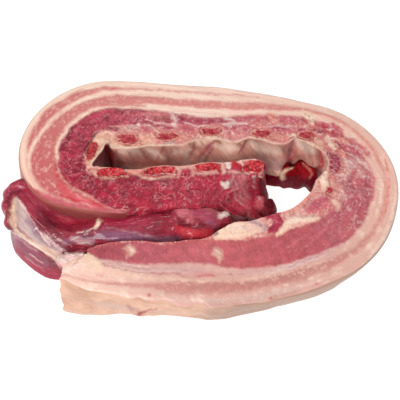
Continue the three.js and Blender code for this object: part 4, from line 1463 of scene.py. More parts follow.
@dataclass(frozen=True)
class CutFinish:
    """Cut face of the strip: fat, pale lean, dark lean and rib meat, each with its own grain.

    The tables give each tissue's colour along the run, and the single colours are stains in it, apart from
    the painted shade in crevices and at the start of the rind, and the painted glints.
    """

    name: str
    rough: float = 0.42
    coat: float = 0.12
    length: float = 622.0
    muscle_run: Sequence[tuple] = (
        (0, (182, 40, 64)), (45, (182, 42, 66)), (95, (172, 32, 56)), (135, (172, 36, 62)),
        (180, (186, 58, 82)), (225, (190, 74, 92)), (270, (194, 82, 94)), (350, (194, 76, 84)),
        (395, (186, 92, 98)), (440, (184, 88, 96)), (480, (188, 84, 90)), (525, (196, 96, 100)),
        (575, (186, 88, 98)), (610, (172, 74, 84)),
    )
    lean_run: Sequence[tuple] = (
        (90, (186, 70, 74)), (128, (200, 94, 96)), (170, (208, 114, 112)), (220, (222, 138, 130)),
        (290, (226, 146, 136)), (330, (222, 140, 130)), (370, (232, 152, 132)), (405, (228, 156, 138)),
        (440, (200, 138, 128)), (480, (186, 124, 114)), (530, (190, 126, 118)), (570, (206, 150, 140)),
    )
    fat_run: Sequence[tuple] = (
        (0, (236, 190, 176)), (88, (206, 142, 126)), (118, (224, 168, 148)), (145, (250, 210, 188)),
        (180, (255, 222, 200)), (260, (255, 222, 204)), (330, (248, 204, 186)), (400, (232, 184, 168)),
        (470, (208, 162, 149)), (540, (210, 164, 152)), (595, (240, 198, 180)), (622, (246, 206, 188)),
    )
    bed_run: Sequence[tuple] = (
        (0, (178, 56, 70)), (60, (180, 58, 72)), (104, (190, 76, 80)), (130, (198, 100, 96)),
        (165, (208, 120, 112)), (205, (220, 142, 134)), (240, (214, 130, 128)), (300, (212, 122, 122)),
        (345, (214, 126, 120)), (390, (202, 116, 110)), (430, (216, 148, 138)), (480, (220, 150, 140)),
        (540, (192, 88, 92)),
    )
    bed_meat: Colour = (198, 104, 100)
    gristle: Colour = (240, 200, 180)
    blotch: Colour = (212, 106, 122)
    clot: Colour = (116, 12, 36)
    pink: Colour = (220, 120, 132)
    speck: Colour = (226, 146, 150)
    glint: Colour = (242, 200, 196)
    thread: Colour = (228, 160, 158)
    marbling: Colour = (232, 184, 180)
    plum: Colour = (158, 54, 78)
    lean_streak: Colour = (204, 118, 116)
    lean_fat: Colour = (240, 194, 178)
    lean_dot: Colour = (196, 104, 106)
    fat_streak: Colour = (236, 176, 160)
    fat_cloud: Colour = (255, 228, 210)
    fat_line: Colour = (228, 158, 146)
    fat_stain_and_shade: Colour = (212, 160, 150)
    curd: Colour = (246, 210, 200)
    nick: Colour = (178, 78, 88)
    fleck: Colour = (246, 206, 194)
    pit: Colour = (158, 50, 60)
    blood: Colour = (192, 38, 48)
    # Painted shade in crevices.
    crevice_shade: Colour = (74, 14, 22)
    skin: Colour = (196, 172, 162)

    def run(self, g: Graph, along: Wire, rows: Sequence[tuple]) -> Wire:
        """Colour of one tissue along the run.

        Args:
            g: Node tree.
            along: Share of the run.
            rows: Lengths along the run, with the colour at each.

        Returns:
            The colour.
        """
        return g.ramp(along, [(at / self.length, colour) for at, colour in rows])

    def grain(self, g: Graph) -> CutGrain:
        """Lay out the shared patterns.

        Args:
            g: Node tree.

        Returns:
            The patterns.
        """
        where = g.vector("strip")
        along = g.part(where) / self.length
        ragged = (g.noise(where, 0.30, 3) - 0.5) * 2.2
        return CutGrain(
            where=where,
            along=along,
            ragged=ragged + (g.noise(where, 1.4, 2) - 0.5) * 0.8,
            cloud=g.noise(where, 0.16, 3),
            mottle=g.noise(where, 0.42, 3, 0.6),
            crumbly=g.step(along, 0.34, 0.50, 1.0, 0.2),
            fibre=g.noise(g.stretch(where, (0.85, 0.10, 0.10)), 1.0, 3, 0.6),
            streaks=g.noise(g.stretch(where, (0.05, 0.8, 0.3)), 1.0, 3, 0.6),
        )

    def bed(self, g: Graph, grain: CutGrain) -> Wire:
        """Meat and gristle round the ribs.

        Args:
            g: Node tree.
            grain: Shared patterns.

        Returns:
            The colour.
        """
        where = grain.where
        bed = self.run(g, grain.along, self.bed_run)
        bed = g.stain(g.step(g.noise(where, 0.14, 4, 0.6), 0.44, 0.66, 0.0, 0.6), bed, self.bed_meat)
        bed = g.stain(g.step(g.noise(where, 0.2, 4, 0.65), 0.48, 0.70, 0.0, 0.5), bed, self.gristle)
        return g.shade(bed, g.swing(grain.mottle, 0.90, 1.08))

    def muscle(self, g: Graph, grain: CutGrain) -> Wire:
        """Dark lean: crumbly on the inner lap and marbled with fat in the far wall.

        Args:
            g: Node tree.
            grain: Shared patterns.

        Returns:
            The colour.
        """
        where, along, crumbly = grain.where, grain.along, grain.crumbly
        muscle = self.run(g, along, self.muscle_run)
        muscle = g.mix(crumbly * 0.9, muscle, g.shade(muscle, g.swing(grain.cloud, 0.68, 1.20)))
        muscle = g.mix((1.0 - crumbly) * 0.9, muscle, g.shade(muscle, g.swing(grain.cloud, 0.88, 1.10)))
        grit = g.noise(where, 0.55, 3, 0.65)
        muscle = g.mix(crumbly, muscle, g.shade(muscle, g.step(grit, 0.34, 0.66, 0.80, 1.20)))
        muscle = g.shade(muscle, g.swing(grain.fibre, 0.94, 1.06))
        muscle = g.stain(g.step(g.noise(where, 0.13, 4, 0.62), 0.50, 0.68, 0.0, 0.55), muscle, self.blotch)
        clots = g.noise(g.stretch(where, (1.0, 0.9, 1.0)), 0.13, 4, 0.66)
        muscle = g.stain(crumbly * g.step(clots, 0.49, 0.65, 0.0, 0.75), muscle, self.clot)
        pinks = g.noise(g.warp(where, 0.25, 2.0), 0.30, 3, 0.6)
        muscle = g.stain(crumbly * g.step(pinks, 0.56, 0.68, 0.0, 0.5), muscle, self.pink)
        # Pale specks, partly standing in for glints, and painted glints, both in clusters.
        cluster = g.step(g.noise(where, 0.10, 3), 0.46, 0.62)
        specks = g.step(g.noise(where, 0.7, 3, 0.6), 0.56, 0.68, 0.0, 0.75) * cluster
        muscle = g.stain(crumbly * specks, muscle, self.speck)
        glints = g.step(g.noise(where, 1.1, 2, 0.5), 0.66, 0.74, 0.0, 0.6) * cluster
        muscle = g.stain(glints, muscle, self.glint)
        threads = g.calc("ABSOLUTE", g.noise(where, 0.15, 2) - 0.5)
        loose = g.step(g.noise(where, 0.07, 2), 0.45, 0.62)
        threads = g.step(threads, 0.024, 0.008) * (crumbly * loose)
        muscle = g.stain(threads * 0.5, muscle, self.thread)
        marbled = g.step(along, 0.32, 0.38, 0.0, 0.8) * g.step(along, 0.74, 0.67)
        pale = g.step(g.noise(g.warp(where, 0.2, 3.0), 0.34, 4, 0.62), 0.50, 0.62, 0.0, 0.65)
        muscle = g.stain(marbled * pale, muscle, self.marbling)
        plum = g.step(g.noise(g.stretch(where, (0.8, 1.0, 1.0)), 0.30, 4, 0.6), 0.52, 0.64, 0.0, 0.6)
        return g.stain(marbled * plum, muscle, self.plum)

    def lean(self, g: Graph, grain: CutGrain) -> Wire:
        """Pale lean streak.

        Args:
            g: Node tree.
            grain: Shared patterns.

        Returns:
            The colour.
        """
        lean = self.run(g, grain.along, self.lean_run)
        lean = g.stain(g.step(grain.streaks, 0.42, 0.70, 0.0, 0.45), lean, self.lean_streak)
        lean = g.stain(g.step(grain.mottle, 0.48, 0.70, 0.0, 0.6), lean, self.lean_fat)
        dots = g.noise(grain.where, 0.9, 3, 0.6)
        return g.stain(g.step(dots, 0.58, 0.72, 0.0, 0.5), lean, self.lean_dot)

    def fat(self, g: Graph, grain: CutGrain) -> Wire:
        """Fat with faint lines along the run.

        Args:
            g: Node tree.
            grain: Shared patterns.

        Returns:
            The colour.
        """
        fat = self.run(g, grain.along, self.fat_run)
        fat = g.stain(g.step(grain.streaks, 0.44, 0.72, 0.0, 0.55), fat, self.fat_streak)
        fat = g.stain(g.step(grain.cloud, 0.48, 0.72, 0.0, 0.55), fat, self.fat_cloud)
        lines = g.noise(g.stretch(grain.where, (0.035, 1.5, 0.3)), 1.0, 2, 0.5)
        fat = g.stain(g.step(lines, 0.56, 0.70, 0.0, 0.5), fat, self.fat_line)
        # Darker stain in the seam and at the start of the rind, where it is partly painted shade on the
        # rounded edge.
        return g.stain(g.number("stain_and_shade"), fat, self.fat_stain_and_shade)

    def patched(self, g: Graph, grain: CutGrain, colour: Wire) -> Wire:
        """Colour with the painted patches over it, broken up in the far wall.

        Args:
            g: Node tree.
            grain: Shared patterns.
            colour: Colour under the patches.

        Returns:
            The colour.
        """
        where, along = grain.where, grain.along
        painted = g.number("tinted") + grain.ragged * 0.2
        patch = g.shade(g.vector("tint"), g.swing(grain.mottle, 0.90, 1.10))
        torn = g.step(along, 0.30, 0.34) * g.step(along, 0.72, 0.66)
        curd = g.step(g.noise(g.warp(where, 0.3, 2.0), 0.42, 4, 0.65), 0.52, 0.64, 0.0, 0.5)
        patch = g.stain(torn * curd, patch, self.curd)
        nick = g.step(g.noise(g.stretch(where, (0.7, 1.0, 1.0)), 0.46, 4, 0.65), 0.45, 0.34, 0.0, 0.7)
        patch = g.stain(torn * nick, patch, self.nick)
        return g.mix(g.step(painted, 0.06, 0.94), colour, patch)

    def make(self) -> bpy.types.Material:
        """Build the finish.

        Returns:
            The material.
        """
        g = Graph(self.name)
        grain = self.grain(g)
        where, along, ragged = grain.where, grain.along, grain.ragged
        in_fat = g.step(g.number("fat") + ragged, -2.0, 1.4)
        in_lean = g.step(g.number("lean") - ragged, -3.0, 2.6)
        in_muscle = g.step(g.number("muscle") - ragged, -1.2, 1.2)
        in_crevice_shade = g.step(g.number("crevice") - ragged * 0.3, -0.4, 0.3)
        in_blood = g.step(g.number("blood") - ragged, -1.2, 0.9)

        colour = g.mix(in_muscle, self.bed(g, grain), self.muscle(g, grain))
        colour = g.mix(in_lean, colour, self.lean(g, grain))
        colour = g.mix(in_fat, colour, self.fat(g, grain))
        colour = self.patched(g, grain, colour)
        plain = 1.0 - g.calc("MAXIMUM", g.calc("MAXIMUM", in_fat, in_lean), in_muscle)
        plain = plain * g.step(g.number("tinted"), 0.5, 1.0, 1.0, 0.35)
        flecks = g.step(g.noise(g.warp(where, 0.3, 1.6), 0.5, 4, 0.65), 0.53, 0.66, 0.0, 0.75)
        colour = g.stain(flecks * plain, colour, self.fleck)
        pits = g.step(g.noise(g.stretch(where, (1.0, 1.2, 1.0)), 0.5, 4, 0.65), 0.44, 0.32, 0.0, 0.7)
        colour = g.stain(pits * plain, colour, self.pit)
        colour = g.stain(in_blood * 0.7, colour, self.blood)
        # Painted shade in the crevices.
        colour = g.stain(in_crevice_shade * 0.85, colour, self.crevice_shade)
        skin = g.step(along, 0.34, 0.46) * g.step(along, 0.76, 0.70)
        skin = skin * g.step(g.part(where, 1), 1.5, 0.5, 0.0, 0.6)
        colour = g.stain(skin, colour, self.skin)

        meat = g.calc("MAXIMUM", in_muscle, in_lean * 0.4) * (1.0 - in_fat)
        height = g.noise(where, 0.75, 3, 0.6) * (meat * grain.crumbly)
        height = height + grain.fibre * meat + g.noise(where, 0.5, 4, 0.6) * 0.9
        g.bump(height, 0.8)
        rough = g.swing(grain.mottle, self.rough - 0.10, self.rough + 0.10)
        return g.finish(colour, rough, self.coat, 0.14)


@dataclass(frozen=True)
class RindFinish:
    """Skin side of the strip: cream skin with faint creases and pores, and painted grey shade at the front.
    """

    name: str = "pork_rind"
    high: Colour = (230, 184, 158)
    low: Colour = (200, 152, 128)
    front_shade: Colour = (166, 130, 113)
    crease: Colour = (228, 168, 146)
    pore: Colour = (190, 134, 112)
    start_red: Colour = (174, 84, 82)
    start_red_shaded: Colour = (140, 42, 50)
    start_red_deep_shade: Colour = (136, 24, 42)

    def make(self) -> bpy.types.Material:
        """Build the finish.

        Returns:
            The material.
        """
        g = Graph(self.name)
        where = g.vector("strip")
        cloud = g.noise(where, 0.06, 4, 0.55)
        crease = g.noise(g.stretch(where, (0.05, 0.3, 0.5)), 1.0, 4, 0.6)
        pore, tint = g.cells(where, 0.35)
        colour = g.mix(g.step(cloud, 0.34, 0.66), paint(*self.low), paint(*self.high))
        colour = g.stain(g.step(crease, 0.52, 0.74, 0.0, 0.4), colour, self.crease)
        dots = g.step(pore, 0.16, 0.08) * g.step(tint, 0.4, 0.5)
        colour = g.stain(dots * 0.2, colour, self.pore)
        # Painted grey shade on the rind at the front right.
        along = g.part(where) + (cloud - 0.5) * 50.0
        front_shade = g.step(along, 552.0, 512.0) * g.step(along, 320.0, 440.0)
        colour = g.stain(front_shade * g.swing(crease, 0.95, 0.7), colour, self.front_shade)
        painted = g.number("tinted") + (crease - 0.5) * 0.4
        colour = g.mix(g.step(painted, 0.08, 0.92), colour, g.vector("tint"))
        # Red band where the rind starts, darker further below the cut face and towards the inner lap: partly
        # the band's own red, partly painted shade.
        low = g.number("rim") + (crease - 0.5) * 9.0
        stain_and_shade = g.mix(g.step(low, 0.5, 8.0), paint(*self.start_red), paint(*self.start_red_shaded))
        stain_and_shade = g.stain(g.step(g.part(where), 118.0, 94.0), stain_and_shade, self.start_red_deep_shade)
        colour = g.mix(g.number("stain_and_shade"), colour, stain_and_shade)
        g.bump(crease * 1.4 + g.noise(where, 0.4, 3) * 0.6, 0.5)
        return g.finish(colour, g.swing(cloud, 0.40, 0.55), 0.10, 0.25)


@dataclass(frozen=True)
class MembraneFinish:
    """Inner face of the strip: thin grey-beige membrane, with meat showing through between the ribs, and
    painted shadow in the corner of the tight bend.
    """

    name: str = "inner_membrane"
    plain: Colour = (238, 202, 178)
    bare: Colour = (206, 146, 130)
    # Colour of the painted shadow in the corner of the tight bend.
    deep: Colour = (120, 20, 26)
    cloudy: Colour = (242, 210, 190)
    rim: Colour = (244, 200, 178)
    slope: float = 28.0

    def make(self) -> bpy.types.Material:
        """Build the finish.

        Returns:
            The material.
        """
        g = Graph(self.name)
        where = g.vector("strip")
        cloud = g.noise(where, 0.10, 4, 0.6)
        sloping = g.tilt(where, self.slope)
        slant = g.noise(g.stretch(sloping, (0.17, 0.12, 0.035)), 1.0, 3, 0.5)
        fine = g.noise(g.stretch(sloping, (1.1, 0.5, 0.16)), 1.0, 3, 0.6)
        colour = g.mix(g.step(slant, 0.36, 0.64), paint(*self.bare), paint(*self.plain))
        painted = g.number("tinted") + (slant - 0.5) * 0.5
        colour = g.mix(g.step(painted, 0.1, 0.9), colour, g.vector("tint"))
        colour = g.shade(colour, g.swing(slant, 0.72, 1.16))
        colour = g.shade(colour, g.swing(fine, 0.88, 1.12))
        colour = g.stain(g.step(cloud, 0.54, 0.74, 0.0, 0.35), colour, self.cloudy)
        # Painted shadow in the corner of the tight bend.
        colour = g.stain(g.number("stain_and_shade"), colour, self.deep)
        rim = g.step(g.number("rim") + g.noise(where, 0.4, 3) * 2.4, 3.0, 1.2)
        colour = g.stain(rim * 0.6, colour, self.rim)
        g.bump(slant * 1.5 + (fine + g.noise(where, 0.3, 4)), 0.35)
        return g.finish(colour, g.swing(cloud, 0.34, 0.5), 0.10, 0.18, 0.10)


@dataclass(frozen=True)
class RibFinish:
    """Cut rib: porous red marrow inside a thin pale wall of bone, duller in the far wall."""

    name: str = "rib_bone_cut"
    # Marrow colour by distance from each bead's middle: pale in the middle as a painted highlight, dark red
    # towards the gaps.
    beads: Sequence[tuple] = (
        (0.08, (240, 120, 112)), (0.22, (220, 48, 58)), (0.52, (196, 22, 40)), (0.82, (128, 8, 24)),
    )
    pale_bead: Colour = (232, 112, 108)
    far_marrow: Colour = (150, 26, 50)
    far_blot: Colour = (214, 104, 104)
    bone_low: Colour = (226, 158, 140)
    bone_high: Colour = (246, 208, 190)
    far_bone: Colour = (216, 132, 120)

    def make(self) -> bpy.types.Material:
        """Build the finish.

        Returns:
            The material.
        """
        g = Graph(self.name)
        where = g.vector("strip")
        bead, tint = g.cells(where, 0.62)
        cloud = g.noise(where, 0.45, 4, 0.6)
        far = g.step(g.part(where), FAR_WALL, FAR_WALL + 27.0)
        marrow = g.ramp(bead + (cloud - 0.5) * 0.5, self.beads)
        marrow = g.stain(g.step(tint, 0.62, 0.9, 0.0, 0.6), marrow, self.pale_bead)
        marrow = g.stain(far * 0.55, marrow, self.far_marrow)
        bone = g.mix(g.step(cloud, 0.38, 0.64), paint(*self.bone_low), paint(*self.bone_high))
        bone = g.stain(far * 0.7, bone, self.far_bone)
        blots = g.step(g.noise(where, 0.34, 3, 0.6), 0.46, 0.62, 0.0, 0.7)
        marrow = g.stain(far * blots, marrow, self.far_blot)
        wall = g.number("rim") + (cloud - 0.5) * (far * 0.9 + 0.45)
        colour = g.mix(g.step(wall, 0.94, 1.08), marrow, bone)
        g.bump(bead * -1.4 + cloud, 0.7)
        return g.finish(colour, g.swing(cloud, 0.26, 0.42), 0.25, 0.12)


@dataclass(frozen=True)
class MuscleFinish:
    """Loose muscle: smooth dark red meat with long fibres, silvery skin and pale fat."""

    name: str
    dark: Colour = (112, 12, 32)
    light: Colour = (160, 38, 60)
    coat: float = 0.3
    silver: float = 0.3
    gloss: float = 0.22
    thread: Colour = (226, 200, 204)

    def make(self) -> bpy.types.Material:
        """Build the finish.

        Returns:
            The material.
        """
        g = Graph(self.name)
        where = g.vector("grain")
        cloud = g.noise(where, 0.09, 4, 0.6)
        fibre = g.noise(g.stretch(where, (0.07, 0.8, 0.8)), 1.0, 4, 0.6)
        mottle = g.noise(where, 0.4, 4, 0.6)
        ragged = (g.noise(where, 0.25, 4, 0.6) - 0.5) * 1.1
        torn = (fibre - 0.5) * 2.2
        colour = g.mix(g.step(cloud, 0.32, 0.66), paint(*self.dark), paint(*self.light))
        colour = g.shade(colour, g.swing(fibre, 0.80, 1.20))
        colour = g.shade(colour, g.swing(mottle, 0.84, 1.16))
        patch = g.shade(g.vector("tint"), g.swing(fibre, 0.86, 1.12))
        patch = g.shade(patch, g.swing(mottle, 0.90, 1.10))
        rim = ragged * 0.3 + torn * 0.16
        colour = g.mix(g.step(g.number("tinted") + rim, 0.06, 0.94), colour, patch)
        threads = g.noise(g.stretch(where, (0.03, 1.6, 1.6)), 1.0, 2, 0.5)
        colour = g.stain(g.step(threads, 0.60, 0.72, 0.0, self.silver), colour, self.thread)
        g.bump(fibre * 1.2 + mottle, 0.8)
        return g.finish(colour, g.swing(cloud, 0.26, 0.42), self.coat, 0.12, self.gloss)


def deselect() -> None:
    """Leave nothing selected, in object mode."""
    if bpy.context.object is not None and bpy.context.object.mode != "OBJECT":
        bpy.ops.object.mode_set(mode="OBJECT")
    bpy.ops.object.select_all(action="DESELECT")


def points_of(piece: bpy.types.Object) -> np.ndarray:
    """Points of a piece's mesh.

    Args:
        piece: Piece to read.

    Returns:
        Array of points.
    """
    flat = np.empty(len(piece.data.vertices) * 3, np.float32)
    piece.data.vertices.foreach_get("co", flat)
    return flat.reshape(-1, 3).astype(float)


def move_points(piece: bpy.types.Object, points: np.ndarray) -> None:
    """Put a piece's points in their places, with the object at the origin.

    Args:
        piece: Piece to change.
        points: New points in metres.
    """
    piece.location = (0.0, 0.0, 0.0)
    piece.data.vertices.foreach_set("co", points.astype(np.float32).ravel())
    piece.data.update()


def keep_number(piece: bpy.types.Object, name: str, values: np.ndarray) -> None:
    """Keep a number on each point of a mesh.

    Args:
        piece: Piece to mark.
        name: Name of the number.
        values: One value for each point.
    """
    made = piece.data.attributes.new(name, "FLOAT", "POINT")
    made.data.foreach_set("value", np.asarray(values, np.float32))


def keep_vector(piece: bpy.types.Object, name: str, values: np.ndarray) -> None:
    """Keep a vector on each point of a mesh.

    Args:
        piece: Piece to mark.
        name: Name of the vector.
        values: One vector for each point.
    """
    made = piece.data.attributes.new(name, "FLOAT_VECTOR", "POINT")
    made.data.foreach_set("vector", np.asarray(values, np.float32).ravel())


def edge_ends(mesh: bpy.types.Mesh) -> np.ndarray:
    """Points at the two ends of each edge of a mesh.

    Args:
        mesh: Mesh to read.

    Returns:
        Two point numbers for each edge.
    """
    ends = np.empty(len(mesh.edges) * 2, np.int32)
    mesh.edges.foreach_get("vertices", ends)
    return ends.reshape(-1, 2)


def cut_upright(piece: bpy.types.Object, cuts: int) -> None:
    """Cut the upright edges of a block or bar one unit high, so that it can bend.

    Args:
        piece: Piece to cut.
        cuts: Number of cuts in each edge.
    """
    mesh = piece.data
    heights = points_of(piece)[:, 2][edge_ends(mesh)]
    for part in (mesh.vertices, mesh.edges, mesh.polygons):
        part.foreach_set("select", np.zeros(len(part), bool))
    mesh.edges.foreach_set("select", np.abs(heights[:, 0] - heights[:, 1]) > 0.5)
    bpy.ops.object.mode_set(mode="EDIT")
    bpy.ops.mesh.select_mode(type="EDGE")
    bpy.ops.mesh.subdivide(number_cuts=cuts)
    bpy.ops.object.mode_set(mode="OBJECT")


def select_points(piece: bpy.types.Object, chosen: np.ndarray) -> None:
    """Select points of a mesh, and the edges and faces between them.

    Args:
        piece: Piece whose points are selected.
        chosen: True for each chosen point.
    """
    mesh = piece.data
    mesh.vertices.foreach_set("select", chosen)
    mesh.edges.foreach_set("select", chosen[edge_ends(mesh)].all(axis=1))
    within = [all(chosen[v] for v in face.vertices) for face in mesh.polygons]
    mesh.polygons.foreach_set("select", np.array(within))


def face_outwards(piece: bpy.types.Object) -> None:
    """Turn all faces outwards and shade them smooth up to an angle.

    Args:
        piece: Piece to mend.
    """
    deselect()
    piece.select_set(True)
    bpy.context.view_layer.objects.active = piece
    bpy.ops.object.mode_set(mode="EDIT")
    bpy.ops.mesh.select_all(action="SELECT")
    bpy.ops.mesh.normals_make_consistent(inside=False)
    bpy.ops.object.mode_set(mode="OBJECT")
    bpy.ops.object.shade_smooth_by_angle(angle=math.radians(55))


def hand_in(piece: bpy.types.Object, node: str) -> None:
    """Ride a finished piece on the body and report it.

    Args:
        piece: Finished piece.
        node: CAD node that it stands for.
    """
    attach(piece, BODY)
    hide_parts(node)
    LOG.info("%s: %d faces", piece.name, len(piece.data.polygons))


@dataclass
class Block:
    """A closed block cut into a fine grid, with a place from 0 to 1 along, across and up."""

    name: str
    along: int
    across: int
    rows: int

    def build(self) -> tuple[bpy.types.Object, np.ndarray]:
        """Model the block from a grid that is drawn down and cut into rows.

        Returns:
            The object, and the place of each point.
        """
        deselect()
        bpy.ops.mesh.primitive_grid_add(x_subdivisions=self.along, y_subdivisions=self.across, size=1.0)
        piece = bpy.context.object
        piece.name = self.name
        piece.data.name = self.name
        bpy.ops.object.mode_set(mode="EDIT")
        bpy.ops.mesh.select_mode(type="EDGE")
        bpy.ops.mesh.select_all(action="SELECT")
        bpy.ops.mesh.extrude_region_move(TRANSFORM_OT_translate={"value": (0.0, 0.0, -1.0)})
        bpy.ops.mesh.select_all(action="DESELECT")
        bpy.ops.object.mode_set(mode="OBJECT")
        cut_upright(piece, self.rows - 1)
        place = points_of(piece) + np.array((0.5, 0.5, 1.0))
        return piece, np.clip(place, 0.0, 1.0)


@dataclass
class LayerPoints:
    """Points of one layer: their place in its block, length along the run and depth from the rind."""

    place: np.ndarray
    s: np.ndarray
    outer: np.ndarray
    inner: np.ndarray
    depth: np.ndarray
    last: float

    def share_to_outer(self) -> np.ndarray:
        """Share that fades from the layer's outer face to nothing at its inner face."""
        return (1.0 - self.place[:, 1]) ** 2


@dataclass
class StripLayer:
    """One layer of the strip, rolled up with its neighbours.

    Lengths are in millimetres, the border of the painted shadow in the tight bend is in pixels of the
    camera's picture, and each stain or painted shadow is a share of full cover.
    """

    strip: Strip
    face: CutFace
    layer: Layer
    slot: str
    across: int
    rows: int
    pitch: float = 0.85
    thinnest: float = 0.05
    rind_round: float = 3.6
    far_sharper: float = 1.4
    lean_round: float = 3.0
    rind_belly: float = 1.6
    end_reach: float = 7.0
    end_sag: float = 0.9
    rind_soft: float = 0.45
    rind_folds: float = 0.7
    lean_swell: float = 1.4
    bed_soft: float = 0.7
    bed_fine: float = 0.35
    inner_end_reach: float = 44.0
    inner_end_back: float = 26.0
    inner_end_lip: float = 2.0
    inner_end_bulge: float = 3.0
    inner_end_uneven: float = 1.6
    # Border and strength of the painted shadow in the corner of the tight bend.
    shadow_left: float = 108.0
    shadow_top: float = 143.0
    shadow_slant: float = 0.87
    bend_shadow: float = 0.86
    seam_stain: float = 0.7
    start_stain_and_shade: float = 0.88
    lumps: Lumps = field(default_factory=lambda: Lumps(5))

    def reach(self) -> tuple[float, float]:
        """Stretch of the run on which the layer is there.

        Returns:
            First and last length along the run.
        """
        places = np.arange(0.0, self.strip.length + 0.25, 0.5)
        there = places[self.strip.layer_curves[self.layer.value](places) > 0.12]
        return float(there[0]), min(float(there[-1]), self.strip.length)

    def at_start(self) -> bool:
        """Whether the layer shows at the inner end of the strip."""
        return self.reach()[0] < 1.0

    def lay_out(self) -> tuple[bpy.types.Object, LayerPoints]:
        """Model the layer as a block and find its points' places in the strip.

        Returns:
            The block and its points.
        """
        strip = self.strip
        first, last = self.reach()
        count = max(8, int((last - first) / self.pitch))
        piece, place = Block(self.layer.name.lower(), count, self.across, self.rows).build()
        s = first + (last - first) * place[:, 0]
        outer = strip.edge(s, self.layer.value)
        inner = strip.edge(s, self.layer.value + 1)
        depth = outer + (np.maximum(inner, outer + self.thinnest) - outer) * place[:, 1]
        return piece, LayerPoints(place, s, outer, inner, depth, last)

    def skin(self, s: np.ndarray, z: np.ndarray) -> np.ndarray:
        """How far the rind stands out from the plain wall.

        Args:
            s: Lengths along the run.
            z: Heights above the floor.

        Returns:
            Distances outwards.
        """
        strip = self.strip
        share = np.clip(z / strip.rind_top(s), 0.0, 1.0)
        frill = strip.frill_top(s) * share + strip.frill_foot(s) * ease(s, 436, 456) * (1.0 - share)
        belly = self.rind_belly * np.sin(np.pi * share ** 0.85)
        soft = self.rind_soft * self.lumps.rough(s / 16.0, z / 14.0, 2.0)
        fold = self.rind_folds * ease(s, 440, 520) * np.sin(z / 3.4 + 1.5 * self.lumps(s / 24.0, 4.0))
        return frill + belly + (soft + fold * ease(share, 0.95, 0.6)) * ease(share, 1.0, 0.8)

    def corner(
        self, depth: np.ndarray, z: np.ndarray, top: np.ndarray, size: np.ndarray,
    ) -> tuple[np.ndarray, np.ndarray]:
        """Round the edge between the outer face and the cut face.

        Args:
            depth: Depths in from the outer face.
            z: Heights above the floor.
            top: Height of the cut face.
            size: Radius of the rounding.

        Returns:
            Rounded depths and heights.
        """
        size = np.maximum(size, 1e-6)
        on_top = z >= top - 1e-6
        turn_top = np.clip((size - depth) / size, 0.0, 1.0) * np.pi / 4
        turn_side = np.clip((z - top + size) / size, 0.0, 1.0) * np.pi / 4
        new_depth = np.where(on_top & (depth < size), size - size * np.sin(turn_top), depth)
        new_z = np.where(on_top & (depth < size), top - size + size * np.cos(turn_top), z)
        beside = (~on_top) & (depth < 1e-6) & (z > top - size)
        new_depth = np.where(beside, size - size * np.cos(turn_side), new_depth)
        new_z = np.where(beside, top - size + size * np.sin(turn_side), new_z)
        return new_depth, new_z

    def inner_end(self, s: np.ndarray, depth: np.ndarray, z: np.ndarray) -> np.ndarray:
        """How far the inner end of the strip draws back at the top and bulges below.

        Args:
            s: Lengths along the run.
            depth: Depths from the rind.
            z: Heights above the floor.

        Returns:
            Shifts along the run.
        """
        near = np.clip(1.0 - s / self.inner_end_reach, 0.0, 1.0)
        back = self.inner_end_back * ease(depth, 27.0, 3.0) * ease(z, 14, 50)
        lip = self.inner_end_lip * ease(z, 42, 50)
        middle = np.sin(np.pi * np.clip(z / 44.0, 0, 1)) * np.sin(np.pi * np.clip(depth / 31.0, 0, 1))
        uneven = self.inner_end_uneven * self.lumps.rough(depth / 6.0, z / 9.0, 14.0)
        return near * (back + lip - self.inner_end_bulge * middle + uneven)

    def ends(self, spots: LayerPoints, z: np.ndarray) -> np.ndarray:
        """Places along the run, shifted at the strip's two cut ends.

        Args:
            spots: Points of the layer.
            z: Heights above the floor.

        Returns:
            Lengths along the run.
        """
        s = spots.s + self.strip.free_end(spots.s, spots.depth, z)
        return s + self.inner_end(spots.s, spots.depth, z) if self.at_start() else s

    def plain_view(self, spots: LayerPoints, level: np.ndarray) -> tuple[np.ndarray, np.ndarray]:
        """Where the plain cut face shows from the front, for its patches.

        Args:
            spots: Points of the layer.
            level: Heights of the plain cut face.

        Returns:
            Pixels from the left and from the top.
        """
        shown = spots.depth
        if self.layer is Layer.RIND_FAT:
            shown = shown - self.strip.frill_top(spots.s) * spots.share_to_outer()
        flat = self.strip.place(self.ends(spots, level), shown, level) / MM
        return seen_from_front(flat - SHIFT)

